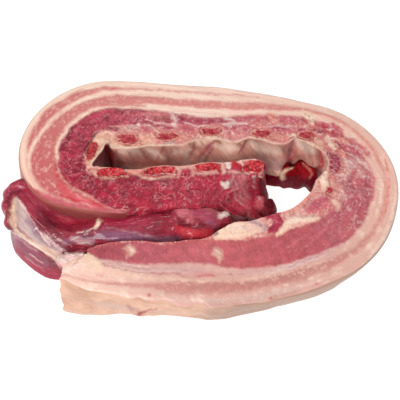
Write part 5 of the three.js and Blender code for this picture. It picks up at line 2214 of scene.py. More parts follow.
    def shape(self, spots: LayerPoints, level: np.ndarray) -> tuple[np.ndarray, np.ndarray]:
        """Shape the block: rounded edges, skin and uneven faces.

        Args:
            spots: Points of the layer.
            level: Heights of the cut face.

        Returns:
            Depths from the rind, and heights above the floor.
        """
        strip, s, depth, outer = self.strip, spots.s, spots.depth, spots.outer
        up = 1.0 - (1.0 - spots.place[:, 2]) ** 1.35
        z = level * up
        if spots.last > strip.length - self.end_reach:
            z = z - self.end_sag * ease(spots.last - s, 2.2, 0.0) * up
        top = np.where(spots.place[:, 2] > 0.999, z, level)
        lay = depth
        if self.layer is Layer.RIND_FAT:
            size = self.rind_round - self.far_sharper * ease(s, 170, 210) * ease(s, 440, 400)
            lay, z = self.corner(depth - outer, z, top, np.minimum(size, 0.6 * (spots.inner - outer)))
            lay = lay + outer - self.skin(s, z) * spots.share_to_outer()
        if self.layer is Layer.DEEP_LEAN:
            fat = strip.layer_curves[Layer.RIND_FAT.value](s)
            lay, z = self.corner(depth - outer, z, top, self.lean_round * ease(fat, 1.0, 0.1))
            swollen = self.lean_swell * self.lumps.rough(s / 9.0, z / 12.0, 6.0) * ease(fat, 2.0, 0.1)
            lay = lay + outer - swollen * spots.share_to_outer() * ease(up, 1.0, 0.85)
        if self.layer is Layer.RIB_BED:
            soft = self.bed_soft * self.lumps.rough(s / 7.0, z / 16.0, 3.0)
            soft = soft + self.bed_fine * self.lumps(s / 2.2, z / 9.0, 9.0)
            room = np.clip((spots.inner - outer) / 6.0, 0.0, 1.0)
            lay = lay + soft * spots.place[:, 1] ** 3 * ease(up, 1.0, 0.9) * room
        return lay, z

    def bare_faces(self, spots: LayerPoints) -> list[tuple[np.ndarray, Sequence[Brush]]]:
        """Faces beside the cut that have patches of their own.

        Args:
            spots: Points of the layer.

        Returns:
            For each such face, which points lie on it, and its patches.
        """
        place, s = spots.place, spots.s
        below = place[:, 2] < 0.999
        faces = []
        if self.at_start():
            faces.append(((place[:, 0] < 0.002) & below, self.face.leaf))
        if self.layer is Layer.RIB_BED:
            faces.append(((place[:, 1] > 1.0 - 1e-5) & below & (s > 108) & (s < 374), self.face.veil))
        if self.layer is Layer.RIND_FAT:
            faces.append(((place[:, 1] < 1e-5) & (place[:, 2] < 0.98) & (s > 430), self.face.hide))
        return faces

    def stain_and_shade(self, spots: LayerPoints, drop: np.ndarray, across: np.ndarray, down: np.ndarray) -> np.ndarray:
        """Where the layer is stained darker or painted with shade.

        Args:
            spots: Points of the layer.
            drop: How far each point lies below the cut face.
            across: Pixels from the left.
            down: Pixels from the top.

        Returns:
            Share of the darkening: painted shadow in the tight bend for the rib side, and else a stain in
            the seam and where the rind starts, which is partly painted shade there.
        """
        strip, s, depth = self.strip, spots.s, spots.depth
        # Painted shadow in the corner of the tight bend, on the rib side's inner face.
        if self.layer is Layer.RIB_BED:
            shadow_edge = self.shadow_left + (down - self.shadow_top) * self.shadow_slant
            bend = ease(s, 112, 140) * ease(s, 246, 236)
            return self.bend_shadow * ease(across - shadow_edge, 6.0, -5.0) * bend * ease(drop, 0.4, 3.0)
        seam = ease(depth - strip.edge(s, Layer.FAT_SEAM.value), -1.0, 1.5)
        seam = seam * ease(s, 420, 470) * ease(s, 590, 555)
        # At the start of the rind: a stain on the cut face, and on the rind's side the red band with its
        # painted shade.
        start = ease(depth - strip.edge(s, Layer.RIND_FAT.value), 2.0, 0.0) * ease(s, 170, 128)
        return self.seam_stain * seam + self.start_stain_and_shade * start

    def build(self, materials: Sequence[bpy.types.Material]) -> None:
        """Model the layer as a block, roll it up, mark its tissues on it and dress it.

        Args:
            materials: Finish of the cut face, and of the outer or inner face.
        """
        piece, spots = self.lay_out()
        place, s, depth = spots.place, spots.s, spots.depth
        painter = Painter(self.face.lumps)
        found, relief = self.face.read(s, depth)
        level = self.strip.top(s, depth)
        tint, tinted, rise = painter.lay(self.face.patches(), *self.plain_view(spots, level))
        level = level + relief + rise
        lay, z = self.shape(spots, level)
        points = self.strip.place(self.ends(spots, z), lay, np.maximum(z, 0.0))
        move_points(piece, points)
        across, down = seen_from_front(points / MM - SHIFT)
        tinted = np.where((place[:, 2] > 0.98) | (place[:, 0] < 0.002), tinted, 0.0)
        for side, brushes in self.bare_faces(spots):
            tint[side], tinted[side], _ = painter.lay(brushes, across[side], down[side])
        keep_vector(piece, "strip", np.stack((s, depth, z), axis=-1))
        for tissue, cover in found.items():
            keep_number(piece, tissue.value, np.clip(cover, OUTSIDE, -OUTSIDE))
        keep_vector(piece, "tint", tint)
        keep_number(piece, "tinted", tinted)
        keep_number(piece, "rim", level - z)
        keep_number(piece, "stain_and_shade", self.stain_and_shade(spots, level - z, across, down))
        self.dress(piece, place, materials)

    def dress(
        self, piece: bpy.types.Object, place: np.ndarray, materials: Sequence[bpy.types.Material],
    ) -> None:
        """Give the faces their finishes and hand the piece in.

        Args:
            piece: Piece to dress.
            place: Place of each point in the block.
            materials: Finish of the cut face, and of the outer or inner face.
        """
        for material in materials:
            piece.data.materials.append(material)
        if len(materials) > 1:
            side = place[:, 1] < 1e-5 if self.layer is Layer.RIND_FAT else place[:, 1] > 1.0 - 1e-5
            chosen = [int(all(side[v] for v in face.vertices)) for face in piece.data.polygons]
            piece.data.polygons.foreach_set("material_index", np.array(chosen, np.int32))
        face_outwards(piece)
        hand_in(piece, self.layer.name.lower())


@dataclass
class CutRibs:
    """The ribs, each a blunt oval bone that shows its marrow at the cut face.

    The rings are the steps inwards from the outline of the cut end.
    """

    strip: Strip
    sides: int = 48
    rings: Sequence[float] = (0.07, 0.09, 0.12, 0.16, 0.20, 0.20)
    proud: float = 0.6
    hollow: float = 0.55
    worn_rim: float = 0.6
    pits: float = 0.25
    near_uneven: float = 0.12
    far_uneven: float = 0.26
    lumps: Lumps = field(default_factory=lambda: Lumps(11))

    def model(self, name: str) -> bpy.types.Object:
        """Model one bone as a round bar with rings inset in its cut end.

        Args:
            name: Name of the piece.

        Returns:
            The bar, one unit in radius and height.
        """
        deselect()
        bpy.ops.mesh.primitive_cylinder_add(vertices=self.sides, radius=1.0, depth=1.0, location=(0, 0, 0))
        piece = bpy.context.object
        piece.name = name
        piece.data.name = name
        select_points(piece, points_of(piece)[:, 2] > 0.4)
        bpy.ops.object.mode_set(mode="EDIT")
        bpy.ops.mesh.select_mode(type="FACE")
        for width in self.rings:
            bpy.ops.mesh.inset(thickness=width, depth=0.0)
        bpy.ops.mesh.poke()
        bpy.ops.object.mode_set(mode="OBJECT")
        return piece

    def build(self, material: bpy.types.Material) -> None:
        """Model, place and dress every rib.

        Args:
            material: Finish of the cut bone.
        """
        strip = self.strip
        for number, rib in enumerate(strip.ribs, start=1):
            name = f"rib_{number:02d}"
            piece = self.model(name)
            bar = points_of(piece)
            far = np.hypot(bar[:, 0], bar[:, 1])
            angle = np.arctan2(bar[:, 1], bar[:, 0])
            ragged = self.lumps(2.2 * np.cos(angle) + 9.0 * number, 2.2 * np.sin(angle))
            uneven = 1.0 + (self.far_uneven if rib.far() else self.near_uneven) * ragged * far
            square = 1.0 / np.maximum(rib.outline(np.sin(angle), np.cos(angle)), 1e-6)
            s = rib.at + rib.reach * uneven * square * bar[:, 0]
            plain = strip.rib_side(s) - strip.wave(s)
            middle = strip.rib_side(np.array([rib.at]))[0] - strip.wave(np.array([rib.at]))[0] - rib.depth
            drift = plain - middle - rib.depth
            depth = middle + strip.rib_follow * drift - rib.thick * uneven * square * bar[:, 1]
            up = bar[:, 2] + 0.5
            pitted = self.pits * self.lumps.rough(s / 1.6, depth / 1.6, number, 2)
            dish = self.hollow * ease(far, 0.95, 0.6) + self.worn_rim * ease(far, 0.93, 1.0)
            z = up * (strip.top(s, depth) + self.proud - dish + pitted)
            move_points(piece, strip.place(s, depth, z))
            keep_vector(piece, "strip", np.stack((s, depth, z), axis=-1))
            keep_number(piece, "rim", far / rib.marrow)
            piece.data.materials.append(material)
            face_outwards(piece)
            hand_in(piece, name)


@dataclass(frozen=True)
class Lobe:
    """A rounded lump of meat: middle, half sizes, turn about the upright and lean, in degrees."""

    at: Triple
    half: Triple
    turn: float = 0.0
    lean: float = 0.0


def model_lobe(lobe: Lobe, lumps: Lumps, uneven: float = 0.1) -> bpy.types.Object:
    """Model one lump of meat from a ball.

    Args:
        lobe: Its place and sizes.
        lumps: Unevenness.
        uneven: Share of unevenness.

    Returns:
        The lump.
    """
    deselect()
    bpy.ops.mesh.primitive_ico_sphere_add(subdivisions=5, radius=1.0)
    piece = bpy.context.object
    ball = points_of(piece)
    fine = 1.6 * ball
    swell = uneven * lumps.rough(fine[:, 0] + lobe.at[0], fine[:, 1] + lobe.at[1], fine[:, 2])
    ball = ball * (1.0 + swell)[:, None] * np.array(lobe.half)
    c, d = math.cos(math.radians(lobe.lean)), math.sin(math.radians(lobe.lean))
    ball = np.stack((c * ball[:, 0] + d * ball[:, 2], ball[:, 1], c * ball[:, 2] - d * ball[:, 0]), axis=-1)
    c, d = math.cos(math.radians(lobe.turn)), math.sin(math.radians(lobe.turn))
    ball = np.stack((c * ball[:, 0] - d * ball[:, 1], d * ball[:, 0] + c * ball[:, 1], ball[:, 2]), axis=-1)
    move_points(piece, MM * (ball + np.array(lobe.at) + SHIFT))
    return piece


def fuse(pieces: Sequence[bpy.types.Object], name: str, voxel: float) -> bpy.types.Object:
    """Join lumps into one skin and cut it level with the floor.

    Args:
        pieces: Lumps to join.
        name: Name of the joined piece.
        voxel: Size of the new faces.

    Returns:
        The joined piece.
    """
    deselect()
    for piece in pieces:
        piece.select_set(True)
    bpy.context.view_layer.objects.active = pieces[0]
    if len(pieces) > 1:
        bpy.ops.object.join()
    whole = bpy.context.object
    whole.name = name
    whole.data.name = name
    remesh = whole.modifiers.new("skin", "REMESH")
    remesh.mode = "VOXEL"
    remesh.voxel_size = voxel * MM
    bpy.ops.object.modifier_apply(modifier=remesh.name)
    soften = whole.modifiers.new("soften", "SMOOTH")
    soften.factor = 0.5
    soften.iterations = 3
    bpy.ops.object.modifier_apply(modifier=soften.name)
    bpy.ops.object.mode_set(mode="EDIT")
    bpy.ops.mesh.select_all(action="SELECT")
    bpy.ops.mesh.bisect(plane_co=(0, 0, 0), plane_no=(0, 0, 1), use_fill=True, clear_inner=True)
    bpy.ops.object.mode_set(mode="OBJECT")
    return whole


def cut_away(piece: bpy.types.Object, tool: bpy.types.Object) -> None:
    """Cut one piece by another.

    Args:
        piece: Piece that is cut.
        tool: Piece that cuts it, and stays.
    """
    deselect()
    piece.select_set(True)
    bpy.context.view_layer.objects.active = piece
    cut = piece.modifiers.new("cut", "BOOLEAN")
    cut.operation = "DIFFERENCE"
    cut.solver = "EXACT"
    cut.object = tool
    bpy.ops.object.modifier_apply(modifier=cut.name)


class PaintedMuscle:
    """Base of the loose muscles: keeps their patches and fibres on the mesh."""

    brushes: Sequence[Brush]
    lumps: Lumps

    def dress(
        self, piece: bpy.types.Object, grain: np.ndarray, material: bpy.types.Material, slot: str, node: str,
    ) -> None:
        """Paint a muscle, give it its finish and hand it in.

        Args:
            piece: Muscle to dress.
            grain: Place of each point along and across the fibres.
            material: Finish of the muscle.
            slot: Name of a material slot, not used.
            node: CAD node that it stands for.
        """
        keep_vector(piece, "grain", grain)
        shown = seen_from_front(points_of(piece) / MM - SHIFT)
        tint, tinted, _ = Painter(self.lumps).lay(self.brushes, *shown)
        keep_vector(piece, "tint", tint)
        keep_number(piece, "tinted", tinted)
        piece.data.materials.append(material)
        face_outwards(piece)
        hand_in(piece, node)


@dataclass
class WallTool:
    """Plain wall of the whole strip with a margin, for cutting what lies against it."""

    strip: Strip
    margin: float = 0.25
    below: float = 3.0
    above: float = 1.0
    cells: tuple[int, int, int] = (260, 8, 6)

    def build(self) -> bpy.types.Object:
        """Model the wall.

        Returns:
            The wall, which is thrown away once it has cut.
        """
        strip = self.strip
        piece, place = Block("wall_tool", *self.cells).build()
        s = strip.length * place[:, 0]
        inner = strip.rib_side(s) + self.margin
        outer = strip.edge(s, Layer.RIND_FAT.value) - self.margin
        depth = outer + (inner - outer) * place[:, 1]
        z = (strip.rib_side_top(s) + self.below + self.above) * place[:, 2] - self.below
        move_points(piece, strip.place(s + strip.free_end(s, depth, z), depth, z))
        face_outwards(piece)
        return piece


@dataclass
class SkirtFlap(PaintedMuscle):
    """Loose skirt muscle between the laps and round the left bend, with lumps at its right end.

    Each point of the path is a place seen from above, with the half width, the spread of the foot
    and the height there.
    """

    path: Rows = (
        (11, -23, 7, 0, 30), (-6, -25, 14, 0, 41), (-28, -29, 18, 0, 43), (-55, -33, 18, 0, 43),
        (-76, -33, 14, 0, 43), (-93, -27, 13.5, 6.5, 44), (-107, -14, 13, 8, 45), (-118, 0, 9.5, 4, 45),
        (-121, 8, 7, 1, 41),
    )
    stations: int = 120
    sides: int = 64
    ridge: float = 0.3
    crease: float = 2.2
    folds: float = 0.7
    uneven_top: float = 0.035
    uneven_side: float = 0.05
    inner_spread: float = 1.3
    below: float = 2.0
    skip: int = 4
    sags: Rows = (
        (0.0, 0), (0.3, 0.5), (0.4, 2), (0.5, 7.5), (0.57, 8.5), (0.63, 8), (0.75, 4), (0.88, 2), (1.0, 1),
    )
    voxel: float = 1.15
    lobes: Sequence[Lobe] = (
        Lobe((4, -23, 36.5), (14, 9, 11), 8), Lobe((-12, -20, 36), (10, 7, 11), 10),
        Lobe((-5, -32.5, 35), (13, 6.5, 9.5), -6), Lobe((15, -22, 35), (6, 6, 10)),
        Lobe((-83, -51, 33), (10, 7, 8.5), -12), Lobe((-77, -48.5, 34), (8, 5.5, 7), 10),
        Lobe((-117, 3, 39), (9, 4.5, 4.5), 10), Lobe((-124, -2, 37), (6, 5, 6), 40),
        Lobe((-127, -9, 31), (4, 5, 8), 0), Lobe((-126, -17, 25), (3.4, 5, 7), 0),
        Lobe((-65.5, -28, 43), (2.2, 2.6, 2.4)), Lobe((-66.5, -31.5, 42.6), (1.6, 1.8, 1.8)),
    )
    brushes: Sequence[Brush] = (
        # Meat beside the wall, and painted shade in the dark fold.
        Brush(Tone.CRIMSON, ((22, 190, 6), (36, 200, 8), (50, 212, 7), (70, 222, 6), (100, 222, 5),
                             (150, 221, 5)), 0.8, 3),
        Brush(Tone.RED, ((62, 219, 2.4), (76, 222, 3), (92, 221.6, 3), (106, 219, 2)), 0.4, 2.4),
        Brush(Tone.ROSE, ((40, 200, 2), (48, 206, 3), (53, 210, 2)), 0.35, 2.4),
        # Painted shade in the dark fold.
        Brush(Tone.WINE, ((44, 210, 1.6), (50, 216, 3.6), (55, 223, 4.4), (60, 230, 3),
                          (66, 234, 1.6)), 0.8, 3),
        # Fascia over the outer side, with silvery wrinkles that are partly painted reflection, and painted
        # glints.
        Brush(Tone.FASCIA, ((19, 202, 4), (22, 213, 7), (26, 222, 8), (34, 232, 5), (46, 241, 4),
                            (60, 250, 4)), 0.9, 2),
        Brush(Tone.CREAM, ((19, 200, 2.4), (15, 209, 3), (14, 220, 3.4), (16, 230, 2),
                           (29, 238.6, 1.3), (44, 247, 2.4), (57, 254, 4)), 0.85, 1.8),
        Brush(Tone.GREY, ((22, 206, 2), (26, 216, 4), (30, 224, 4)), 0.6, 2),
        Brush(Tone.WHITE, ((20, 197, 0.9), (26, 205, 0.9), (33, 214, 0.7), (38, 222, 0.7)), 0.8, 0.9),
        Brush(Tone.WHITE, ((12, 232, 0.7), (25, 238, 0.8), (40, 247, 0.8), (58, 258, 0.8)), 0.8, 0.8),
        Brush(Tone.VIOLET, ((31, 220, 2), (40, 231, 3.4), (52, 241, 4), (66, 247, 3)), 0.75, 2),
        # Silvery wrinkles, partly painted reflection.
        Brush(Tone.WHITE, ((37, 229.4, 0.6), (42.6, 226, 0.8)), 0.8, 0.7),
        Brush(Tone.LILAC, ((38, 222, 0.6), (44, 232, 0.8), (54, 241, 0.8), (66, 248, 0.6)), 0.85, 0.8),
        Brush(Tone.WHITE, ((44, 232, 0.6), (49, 239, 0.9), (53, 245, 0.6)), 0.85, 0.7),
        Brush(Tone.WHITE, ((47, 230, 0.5), (56, 239, 0.7), (66, 248, 0.6), (73, 252, 0.5)), 0.85, 0.7),
        Brush(Tone.LILAC, ((50, 229, 0.5), (60, 238, 0.6), (70, 244, 0.6)), 0.7, 0.8),
        Brush(Tone.WHITE, ((40, 226, 0.4), (48, 235, 0.6), (58, 244, 0.6), (66, 251, 0.4)), 0.75, 0.6),
        Brush(Tone.WHITE, ((58, 233, 0.4), (66, 240, 0.6), (76, 245, 0.4)), 0.7, 0.6),
        Brush(Tone.WINE, ((46, 227, 0.5), (56, 237, 0.7), (68, 246, 0.5)), 0.5, 0.8),
        Brush(Tone.VIOLET, ((70, 240, 3), (84, 238, 4), (96, 239, 4)), 0.7, 2.4),
        Brush(Tone.LILAC, ((75, 237, 1.6), (84, 239.6, 3), (92, 240.6, 2.8), (96, 240, 1.6)), 0.7, 1.6),
        # Painted glints.
        Brush(Tone.WHITE, ((76, 238.6, 0.7), (82, 236, 0.6)), 0.8, 0.7),
        Brush(Tone.WHITE, ((80, 232.4, 0.5), (88, 230.6, 0.7), (97, 228, 0.5)), 0.75, 0.8),
        Brush(Tone.WHITE, ((83, 242, 0.6), (89, 241.4, 0.8), (96, 243, 0.6)), 0.75, 0.8),
        # Crumpled white end of the fascia, by the free end.
        Brush(Tone.TAN, ((46, 247, 1.6), (54, 252, 2.6), (61, 257, 2.6)), 0.6, 1.8),
        Brush(Tone.WHITE, ((65, 257, 4), (72, 259, 7), (80, 258, 7), (88, 254, 3)), 0.88, 1.8),
        Brush(Tone.PINK, ((64, 253, 1.0), (72, 256, 1.4), (82, 254, 1.0)), 0.45, 1.6),
        Brush(Tone.PINK, ((63, 262, 1.6), (73, 263, 1.6)), 0.5, 1.6),
        Brush(Tone.MIST, ((66, 254, 0.9), (74, 259, 1.2), (80, 261, 0.8)), 0.7, 1.2),
        Brush(Tone.MIST, ((72, 252, 0.7), (79, 255, 0.9)), 0.6, 1),
        # Violet back of the muscle between the laps, with a painted highlight line.
        Brush(Tone.VIOLET, ((104, 234, 4), (130, 236, 6), (156, 239, 5), (178, 239, 4)), 0.85, 2.4),
        # Painted highlight line.
        Brush(Tone.LILAC, ((110, 227, 0.6), (132, 231, 0.8), (158, 237, 0.6)), 0.55, 1.0),
        Brush(Tone.PLUM, ((104, 227, 3), (130, 228, 3), (160, 230, 3)), 0.5, 2.4),
        Brush(Tone.CREAM, ((101.5, 220, 2.8), (100, 225, 2.2), (98.6, 228, 1.2)), 1.0, 0.9),
        # Lower lobe, with painted glints.
        Brush(Tone.VIOLET, ((14, 238, 4), (22, 246, 6), (34, 255, 6), (46, 263, 5)), 0.6, 2.4),
        Brush(Tone.PLUM, ((17, 243, 4), (28, 252, 6), (42, 262, 5)), 0.75, 2.4),
        Brush(Tone.LILAC, ((15, 236, 1.0), (26, 242.6, 1.2), (38, 250, 1.0)), 0.5, 1.2),
        Brush(Tone.CRIMSON, ((15, 250, 3), (25, 263, 5), (40, 271, 5), (58, 276, 5)), 0.9, 2.4),
        # Painted glints.
        Brush(Tone.WHITE, ((31, 254, 0.5), (37, 257.6, 0.7), (44, 262, 0.5)), 0.6, 0.8),
        Brush(Tone.LILAC, ((24, 256, 0.5), (33, 263, 0.6), (42, 268, 0.4)), 0.5, 0.8),
        # Hook at the top.
        Brush(Tone.CRIMSON, ((24, 186, 5), (12, 188, 6), (5, 197, 6), (4, 212, 5), (6, 222, 4)), 0.92, 1.6),
        Brush(Tone.ROSE, ((20, 185, 1.2), (10, 188, 1.2), (4, 198, 1.0)), 0.6, 1.4),
        Brush(Tone.WINE, ((22, 191, 1.2), (14, 194, 1.4), (9, 203, 1.2)), 0.8, 1.2),
        Brush(Tone.TAN, ((7, 212, 0.8), (6, 218, 0.8)), 0.4, 1.2),
        Brush(Tone.WINE, ((3, 206, 1.4), (3, 216, 1.6), (6, 225, 1.2)), 0.5, 1.6),
        # Lumps at the right end.
        Brush(Tone.ROSE, ((176, 204, 5), (184, 210, 7), (190, 218, 5)), 0.8, 2),
        Brush(Tone.MAUVE, ((196, 209, 6), (208, 214, 9), (216, 221, 6)), 0.85, 2),
        Brush(Tone.PINK, ((198, 206, 1.2), (210, 208, 1.6), (220, 213, 1.2)), 0.6, 1.6),
        Brush(Tone.RED, ((178, 228, 3.4), (194, 232, 5), (210, 232, 4)), 0.85, 2),
        Brush(Tone.VIOLET, ((209, 222, 2.4), (214, 226, 2.4)), 0.6, 1.8),
        Brush(Tone.WHITE, ((220, 215, 2.6), (227, 212, 3.2)), 0.95, 1.2),
    )
    lumps: Lumps = field(default_factory=lambda: Lumps(33))

    def __post_init__(self) -> None:
        """Make the curves along the flap."""
        count = len(self.path) - 1
        keyed = [(i / count, *row) for i, row in enumerate(self.path)]
        self.width = Profile(keyed, 3)
        self.spread = Profile(keyed, 4)
        self.height = Profile(keyed, 5)
        self.sag = Profile(self.sags)
        share = np.linspace(0.0, 1.0, 241)
        places = np.array([row[:2] for row in self.path], float)
        self.share = share
        self.line = self.through(places, share)
        self.along = np.gradient(self.line, axis=0)
        self.along /= np.linalg.norm(self.along, axis=1)[:, None]

    def through(self, places: np.ndarray, share: np.ndarray) -> np.ndarray:
        """Smooth line through points.

        Args:
            places: Points to pass through.
            share: Places along the line, from 0 to 1.

        Returns:
            Points of the line.
        """
        spans = len(places) - 1
        padded = np.vstack((2 * places[0] - places[1], places, 2 * places[-1] - places[-2]))
        at = np.clip(share * spans, 0, spans - 1e-9)
        i = at.astype(int)
        t = (at - i)[:, None]
        p0, p1, p2, p3 = (padded[i + k] for k in range(4))
        square = 2 * p0 - 5 * p1 + 4 * p2 - p3
        cube = 3 * p1 - p0 - 3 * p2 + p3
        return 0.5 * (2 * p1 + (p2 - p0) * t + square * t ** 2 + cube * t ** 3)

    def body(self) -> bpy.types.Object:
        """Model the long muscle from a round bar that is flattened and bent along its path.

        Returns:
            The muscle, open to joining with its lumps.
        """
        deselect()
        bpy.ops.mesh.primitive_cylinder_add(vertices=self.sides, radius=1.0, depth=1.0)
        piece = bpy.context.object
        cut_upright(piece, self.stations - 1)
        bar = points_of(piece)
        t = np.clip(bar[:, 2] + 0.5, 0.0, 1.0)
        centre = np.stack([np.interp(t, self.share, self.line[:, k]) for k in range(2)], axis=-1)
        way = np.stack([np.interp(t, self.share, self.along[:, k]) for k in range(2)], axis=-1)
        out = np.stack((-way[:, 1], way[:, 0]), axis=-1)
        ends = np.minimum(1.0, np.minimum(4 * t + 0.5, 4 * (1 - t) + 0.35))
        across = np.sign(bar[:, 0]) * np.abs(bar[:, 0]) ** 0.55
        across = np.where(bar[:, 1] < 0, bar[:, 0], across)
        left = ease(t, 0.42, 0.62)
        crest = self.ridge * left - 0.2 * (1.0 - left)
        fall = np.clip((across - crest) / (1.0 - crest), 0.0, 1.0)
        drop = self.sag(t) * ease(crest - across, 0.0, 0.7)
        seam = ease(crest - across, 0.0, 0.4) * ease(across, -0.9, -0.5)
        drop = drop + self.crease * (1.0 - left) * seam
        z = (self.height(t) - drop) * ends ** 0.4 * (1.0 - fall ** 2.2) ** 0.62
        z = z * (1.0 + self.uneven_top * self.lumps.rough(t * 9.0, across * 1.5, 2.0))
        z = z + self.folds * left * self.lumps.rough(t * 6.0, across * 9.0, 6.0) * ease(z, 4, 12)
        foot = self.spread(t) * np.maximum(0.0, across) * (1.0 - z / self.height(t))
        uneven = 1.0 + self.uneven_side * self.lumps.rough(t * 7.0, z / 12.0, 5.0)
        spread = np.where(across < 0, self.inner_spread, 1.0)
        side = across * spread * self.width(t) * ends * uneven + foot
        flat = centre + out * side[:, None]
        z = np.where(bar[:, 1] < 0, -self.below, z)
        move_points(piece, MM * (np.stack((flat[:, 0], flat[:, 1], z), axis=-1) + SHIFT))
        face_outwards(piece)
        return piece

    def build(self, wall: bpy.types.Object, material: bpy.types.Material) -> None:
        """Model, cut and dress the flap.

        Args:
            wall: Wall of the strip, to cut by.
            material: Finish of the muscle.
        """
        parts = [self.body()] + [model_lobe(lobe, self.lumps) for lobe in self.lobes]
        piece = fuse(parts, "skirt_flap", self.voxel)
        cut_away(piece, wall)
        points = points_of(piece) / MM - SHIFT
        coarse = self.line[None, ::self.skip]
        away = np.hypot(points[:, None, 0] - coarse[..., 0], points[:, None, 1] - coarse[..., 1])
        near = away.argmin(axis=1) * self.skip
        t = self.share[near]
        out = np.stack((-self.along[near, 1], self.along[near, 0]), axis=-1)
        side = ((points[:, :2] - self.line[near]) * out).sum(axis=1) / self.width(t)
        steps = np.linalg.norm(np.diff(self.line, axis=0), axis=1)
        travel = np.concatenate(([0.0], np.cumsum(steps)))[near]
        grain = np.stack((travel, side * 12.0, points[:, 2]), axis=-1)
        self.dress(piece, grain, material, "skirt_meat", "skirt_flap")


@dataclass
class InnerMuscle(PaintedMuscle):
    """Dark red muscle in the hollow at the right, in folded lobes with pale edges."""

    voxel: float = 0.9
    uneven: float = 0.12
    lobes: Sequence[Lobe] = (
        Lobe((68, 28, 12), (8.5, 6, 17), 15, 8), Lobe((54, 29, 4), (15, 4.5, 8), 0),
        Lobe((77, 25, 11), (6, 7, 16), -10, -6), Lobe((58, 27, 11), (4, 4.5, 16), 0, 4),
        Lobe((63, 26, 12), (5, 4, 16), 0, 14),
    )
    brushes: Sequence[Brush] = (
        # Painted shade along the foot of the muscle, low in the hollow.
        Brush(Tone.WINE, ((262, 178, 6), (280, 181, 6), (300, 184, 8), (318, 182, 6)), 0.9, 3),
        Brush(Tone.RED, ((297, 165, 2), (303, 168, 4), (306, 175, 4)), 0.45, 2.4),
        Brush(Tone.CREAM, ((285, 178, 1.6), (283.6, 173, 2.4), (288, 169, 2.0),
                           (294, 167.6, 0.8)), 0.85, 1.4),
        Brush(Tone.SALMON, ((302, 161.6, 0.7), (308.6, 166, 0.9), (312, 173, 1.2),
                            (311, 178, 0.6)), 0.65, 1.4),
        Brush(Tone.CRIMSON, ((316, 166, 2.4), (319, 174, 3)), 0.7, 2),
        Brush(Tone.SALMON, ((318, 166, 1.0), (321, 168, 1.0)), 0.7, 1.2),
    )
    lumps: Lumps = field(default_factory=lambda: Lumps(44))

    def build(self, wall: bpy.types.Object, material: bpy.types.Material) -> None:
        """Model, cut and dress the muscle.

        Args:
            wall: Wall of the strip, to cut by.
            material: Finish of the muscle.
        """
        parts = [model_lobe(lobe, self.lumps, self.uneven) for lobe in self.lobes]
        piece = fuse(parts, "inner_muscle", self.voxel)
        cut_away(piece, wall)
        upright = points_of(piece)[:, [2, 0, 1]] / MM
        self.dress(piece, upright, material, "skirt_meat", "inner_muscle")


@dataclass
class EndMuscle(PaintedMuscle):
    """Bulging end of the deep lean at the inner end of the roll."""

    voxel: float = 1.0
    lobes: Sequence[Lobe] = (
        Lobe((40, -4, 16), (7.4, 8, 18.5), 0), Lobe((46, -2.5, 14), (5.4, 6, 14), 0),
        Lobe((31, -9, 16), (7, 6, 17), 20),
    )
    brushes: Sequence[Brush] = (
        Brush(Tone.ROSE, ((240, 180, 6), (244, 192, 8), (245, 204, 5)), 0.8, 2.4),
        Brush(Tone.WINE, ((236, 214, 3), (246, 214, 4), (258, 216, 4)), 0.9, 2),
        Brush(Tone.ROSE, ((256, 191, 4), (258, 199, 6), (260, 206, 5)), 0.7, 2),
        # Painted highlight on the main lobe.
        Brush(Tone.LILAC, ((256.6, 196, 1.5), (257.6, 199.6, 1.3)), 0.9, 1.2),
        Brush(Tone.WINE, ((270, 196, 3), (272, 204, 5)), 0.8, 2),
    )
    lumps: Lumps = field(default_factory=lambda: Lumps(55))

    def build(self, material: bpy.types.Material) -> None:
        """Model and dress the bulge.

        Args:
            material: Finish of the muscle.
        """
        parts = [model_lobe(lobe, self.lumps) for lobe in self.lobes]
        piece = fuse(parts, "end_muscle", self.voxel)
        upright = points_of(piece)[:, [2, 0, 1]] / MM
        self.dress(piece, upright, material, "dark_lean", "deep_lean")


@dataclass(frozen=True)
class Lamp:
    """A soft square lamp: its name, place, width and power in watts."""

    name: str
    at: Triple
    size: float
    power: float


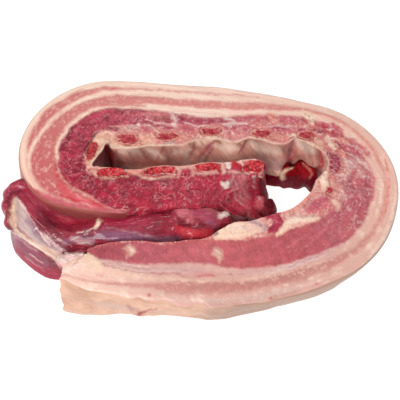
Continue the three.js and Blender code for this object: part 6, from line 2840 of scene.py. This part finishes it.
@dataclass
class Studio:
    """Pale floor, soft light and the camera."""

    target: Triple = (MIDDLE[0], MIDDLE[1], VIEW_HEIGHT)
    rise: float = VIEW_RISE
    away: float = 1000.0
    lens: float = 135.3
    sensor: float = 36.0
    nearest: float = 10.0
    farthest: float = 20000.0
    floor_size: float = 6000.0
    floor_drop: float = 0.4
    floor_grey: float = 0.28
    floor_glow: float = 0.9
    floor_rough: float = 0.9
    room_light: float = 0.52
    lamps: Sequence[Lamp] = (
        Lamp("key_light", (-330.0, -880.0, 1050.0), 420.0, 10.0),
        Lamp("top_light", (200.0, 300.0, 1400.0), 900.0, 3.6),
    )

    def floor(self) -> None:
        """Lay a pale floor under the part."""
        deselect()
        place = (0.0, 0.0, -self.floor_drop * MM)
        bpy.ops.mesh.primitive_plane_add(size=self.floor_size * MM, location=place)
        floor = bpy.context.object
        floor.name = "studio_floor"
        g = Graph("studio_floor")
        g.shader.inputs["Emission Color"].default_value = (1.0, 1.0, 1.0, 1.0)
        g.shader.inputs["Emission Strength"].default_value = self.floor_glow
        grey = (self.floor_grey, self.floor_grey, self.floor_grey, 1.0)
        floor.data.materials.append(g.finish(grey, self.floor_rough, 0.0, 0.3))

    def hang(self, lamp: Lamp) -> None:
        """Hang one lamp so that it looks at the part.

        Args:
            lamp: Lamp to hang.
        """
        data = bpy.data.lights.new(lamp.name, "AREA")
        data.size = lamp.size * MM
        data.energy = lamp.power
        light = bpy.data.objects.new(lamp.name, data)
        light.location = Vector(lamp.at) * MM
        light.rotation_euler = (Vector(self.target) - Vector(lamp.at)).to_track_quat("-Z", "Y").to_euler()
        bpy.context.scene.collection.objects.link(light)

    def room(self) -> None:
        """Fill the room with even light."""
        world = bpy.data.worlds.new("soft_room")
        world.use_nodes = True
        background = world.node_tree.nodes["Background"]
        background.inputs["Color"].default_value = (1.0, 1.0, 1.0, 1.0)
        background.inputs["Strength"].default_value = self.room_light
        bpy.context.scene.world = world
        bpy.context.scene.view_settings.view_transform = "Standard"

    def camera(self) -> None:
        """Put up the camera at the front, looking down at the part."""
        data = bpy.data.cameras.new("camera")
        data.lens = self.lens
        data.sensor_width = self.sensor
        data.clip_start = self.nearest * MM
        data.clip_end = self.farthest * MM
        camera = bpy.data.objects.new("camera", data)
        turn = math.radians(self.rise)
        back = Vector((0.0, -math.cos(turn), math.sin(turn)))
        camera.location = (Vector(self.target) + back * self.away) * MM
        camera.rotation_euler = (-back).to_track_quat("-Z", "Y").to_euler()
        bpy.context.scene.collection.objects.link(camera)
        bpy.context.scene.camera = camera

    def build(self) -> None:
        """Set up the floor, the light and the camera."""
        self.floor()
        for lamp in self.lamps:
            self.hang(lamp)
        self.room()
        self.camera()


def main() -> None:
    """Build the studio, the strip, its ribs and the loose muscles."""
    logging.basicConfig(level=logging.INFO, format="%(message)s")
    Studio().build()
    strip = Strip()
    face = CutFace(strip)
    sides = {Layer.RIND_FAT: [RindFinish().make()], Layer.RIB_BED: [MembraneFinish().make()]}
    layers = (
        (Layer.RIND_FAT, "outer_fat", 14, 22),
        (Layer.LEAN_STREAK, "pale_lean", 18, 2),
        (Layer.FAT_SEAM, "seam_fat", 16, 8),
        (Layer.DEEP_LEAN, "dark_lean", 22, 12),
        (Layer.RIB_BED, "rib_meat", 22, 22),
    )
    for layer, slot, across, rows in layers:
        finishes = [CutFinish(slot + "_cut").make(), *sides.get(layer, [])]
        StripLayer(strip, face, layer, slot, across, rows).build(finishes)
    CutRibs(strip).build(RibFinish().make())
    wall = WallTool(strip).build()
    SkirtFlap().build(wall, MuscleFinish("skirt_muscle").make())
    dark = MuscleFinish("dark_muscle", dark=(92, 2, 8), light=(156, 12, 22), coat=0.0, silver=0.0, gloss=0.02)
    InnerMuscle().build(wall, dark.make())
    bulge = MuscleFinish("end_muscle", dark=(112, 12, 30), light=(170, 50, 72), coat=0.06, gloss=0.06)
    EndMuscle().build(bulge.make())
    bpy.data.objects.remove(wall)


if __name__ == "__main__":
    main()
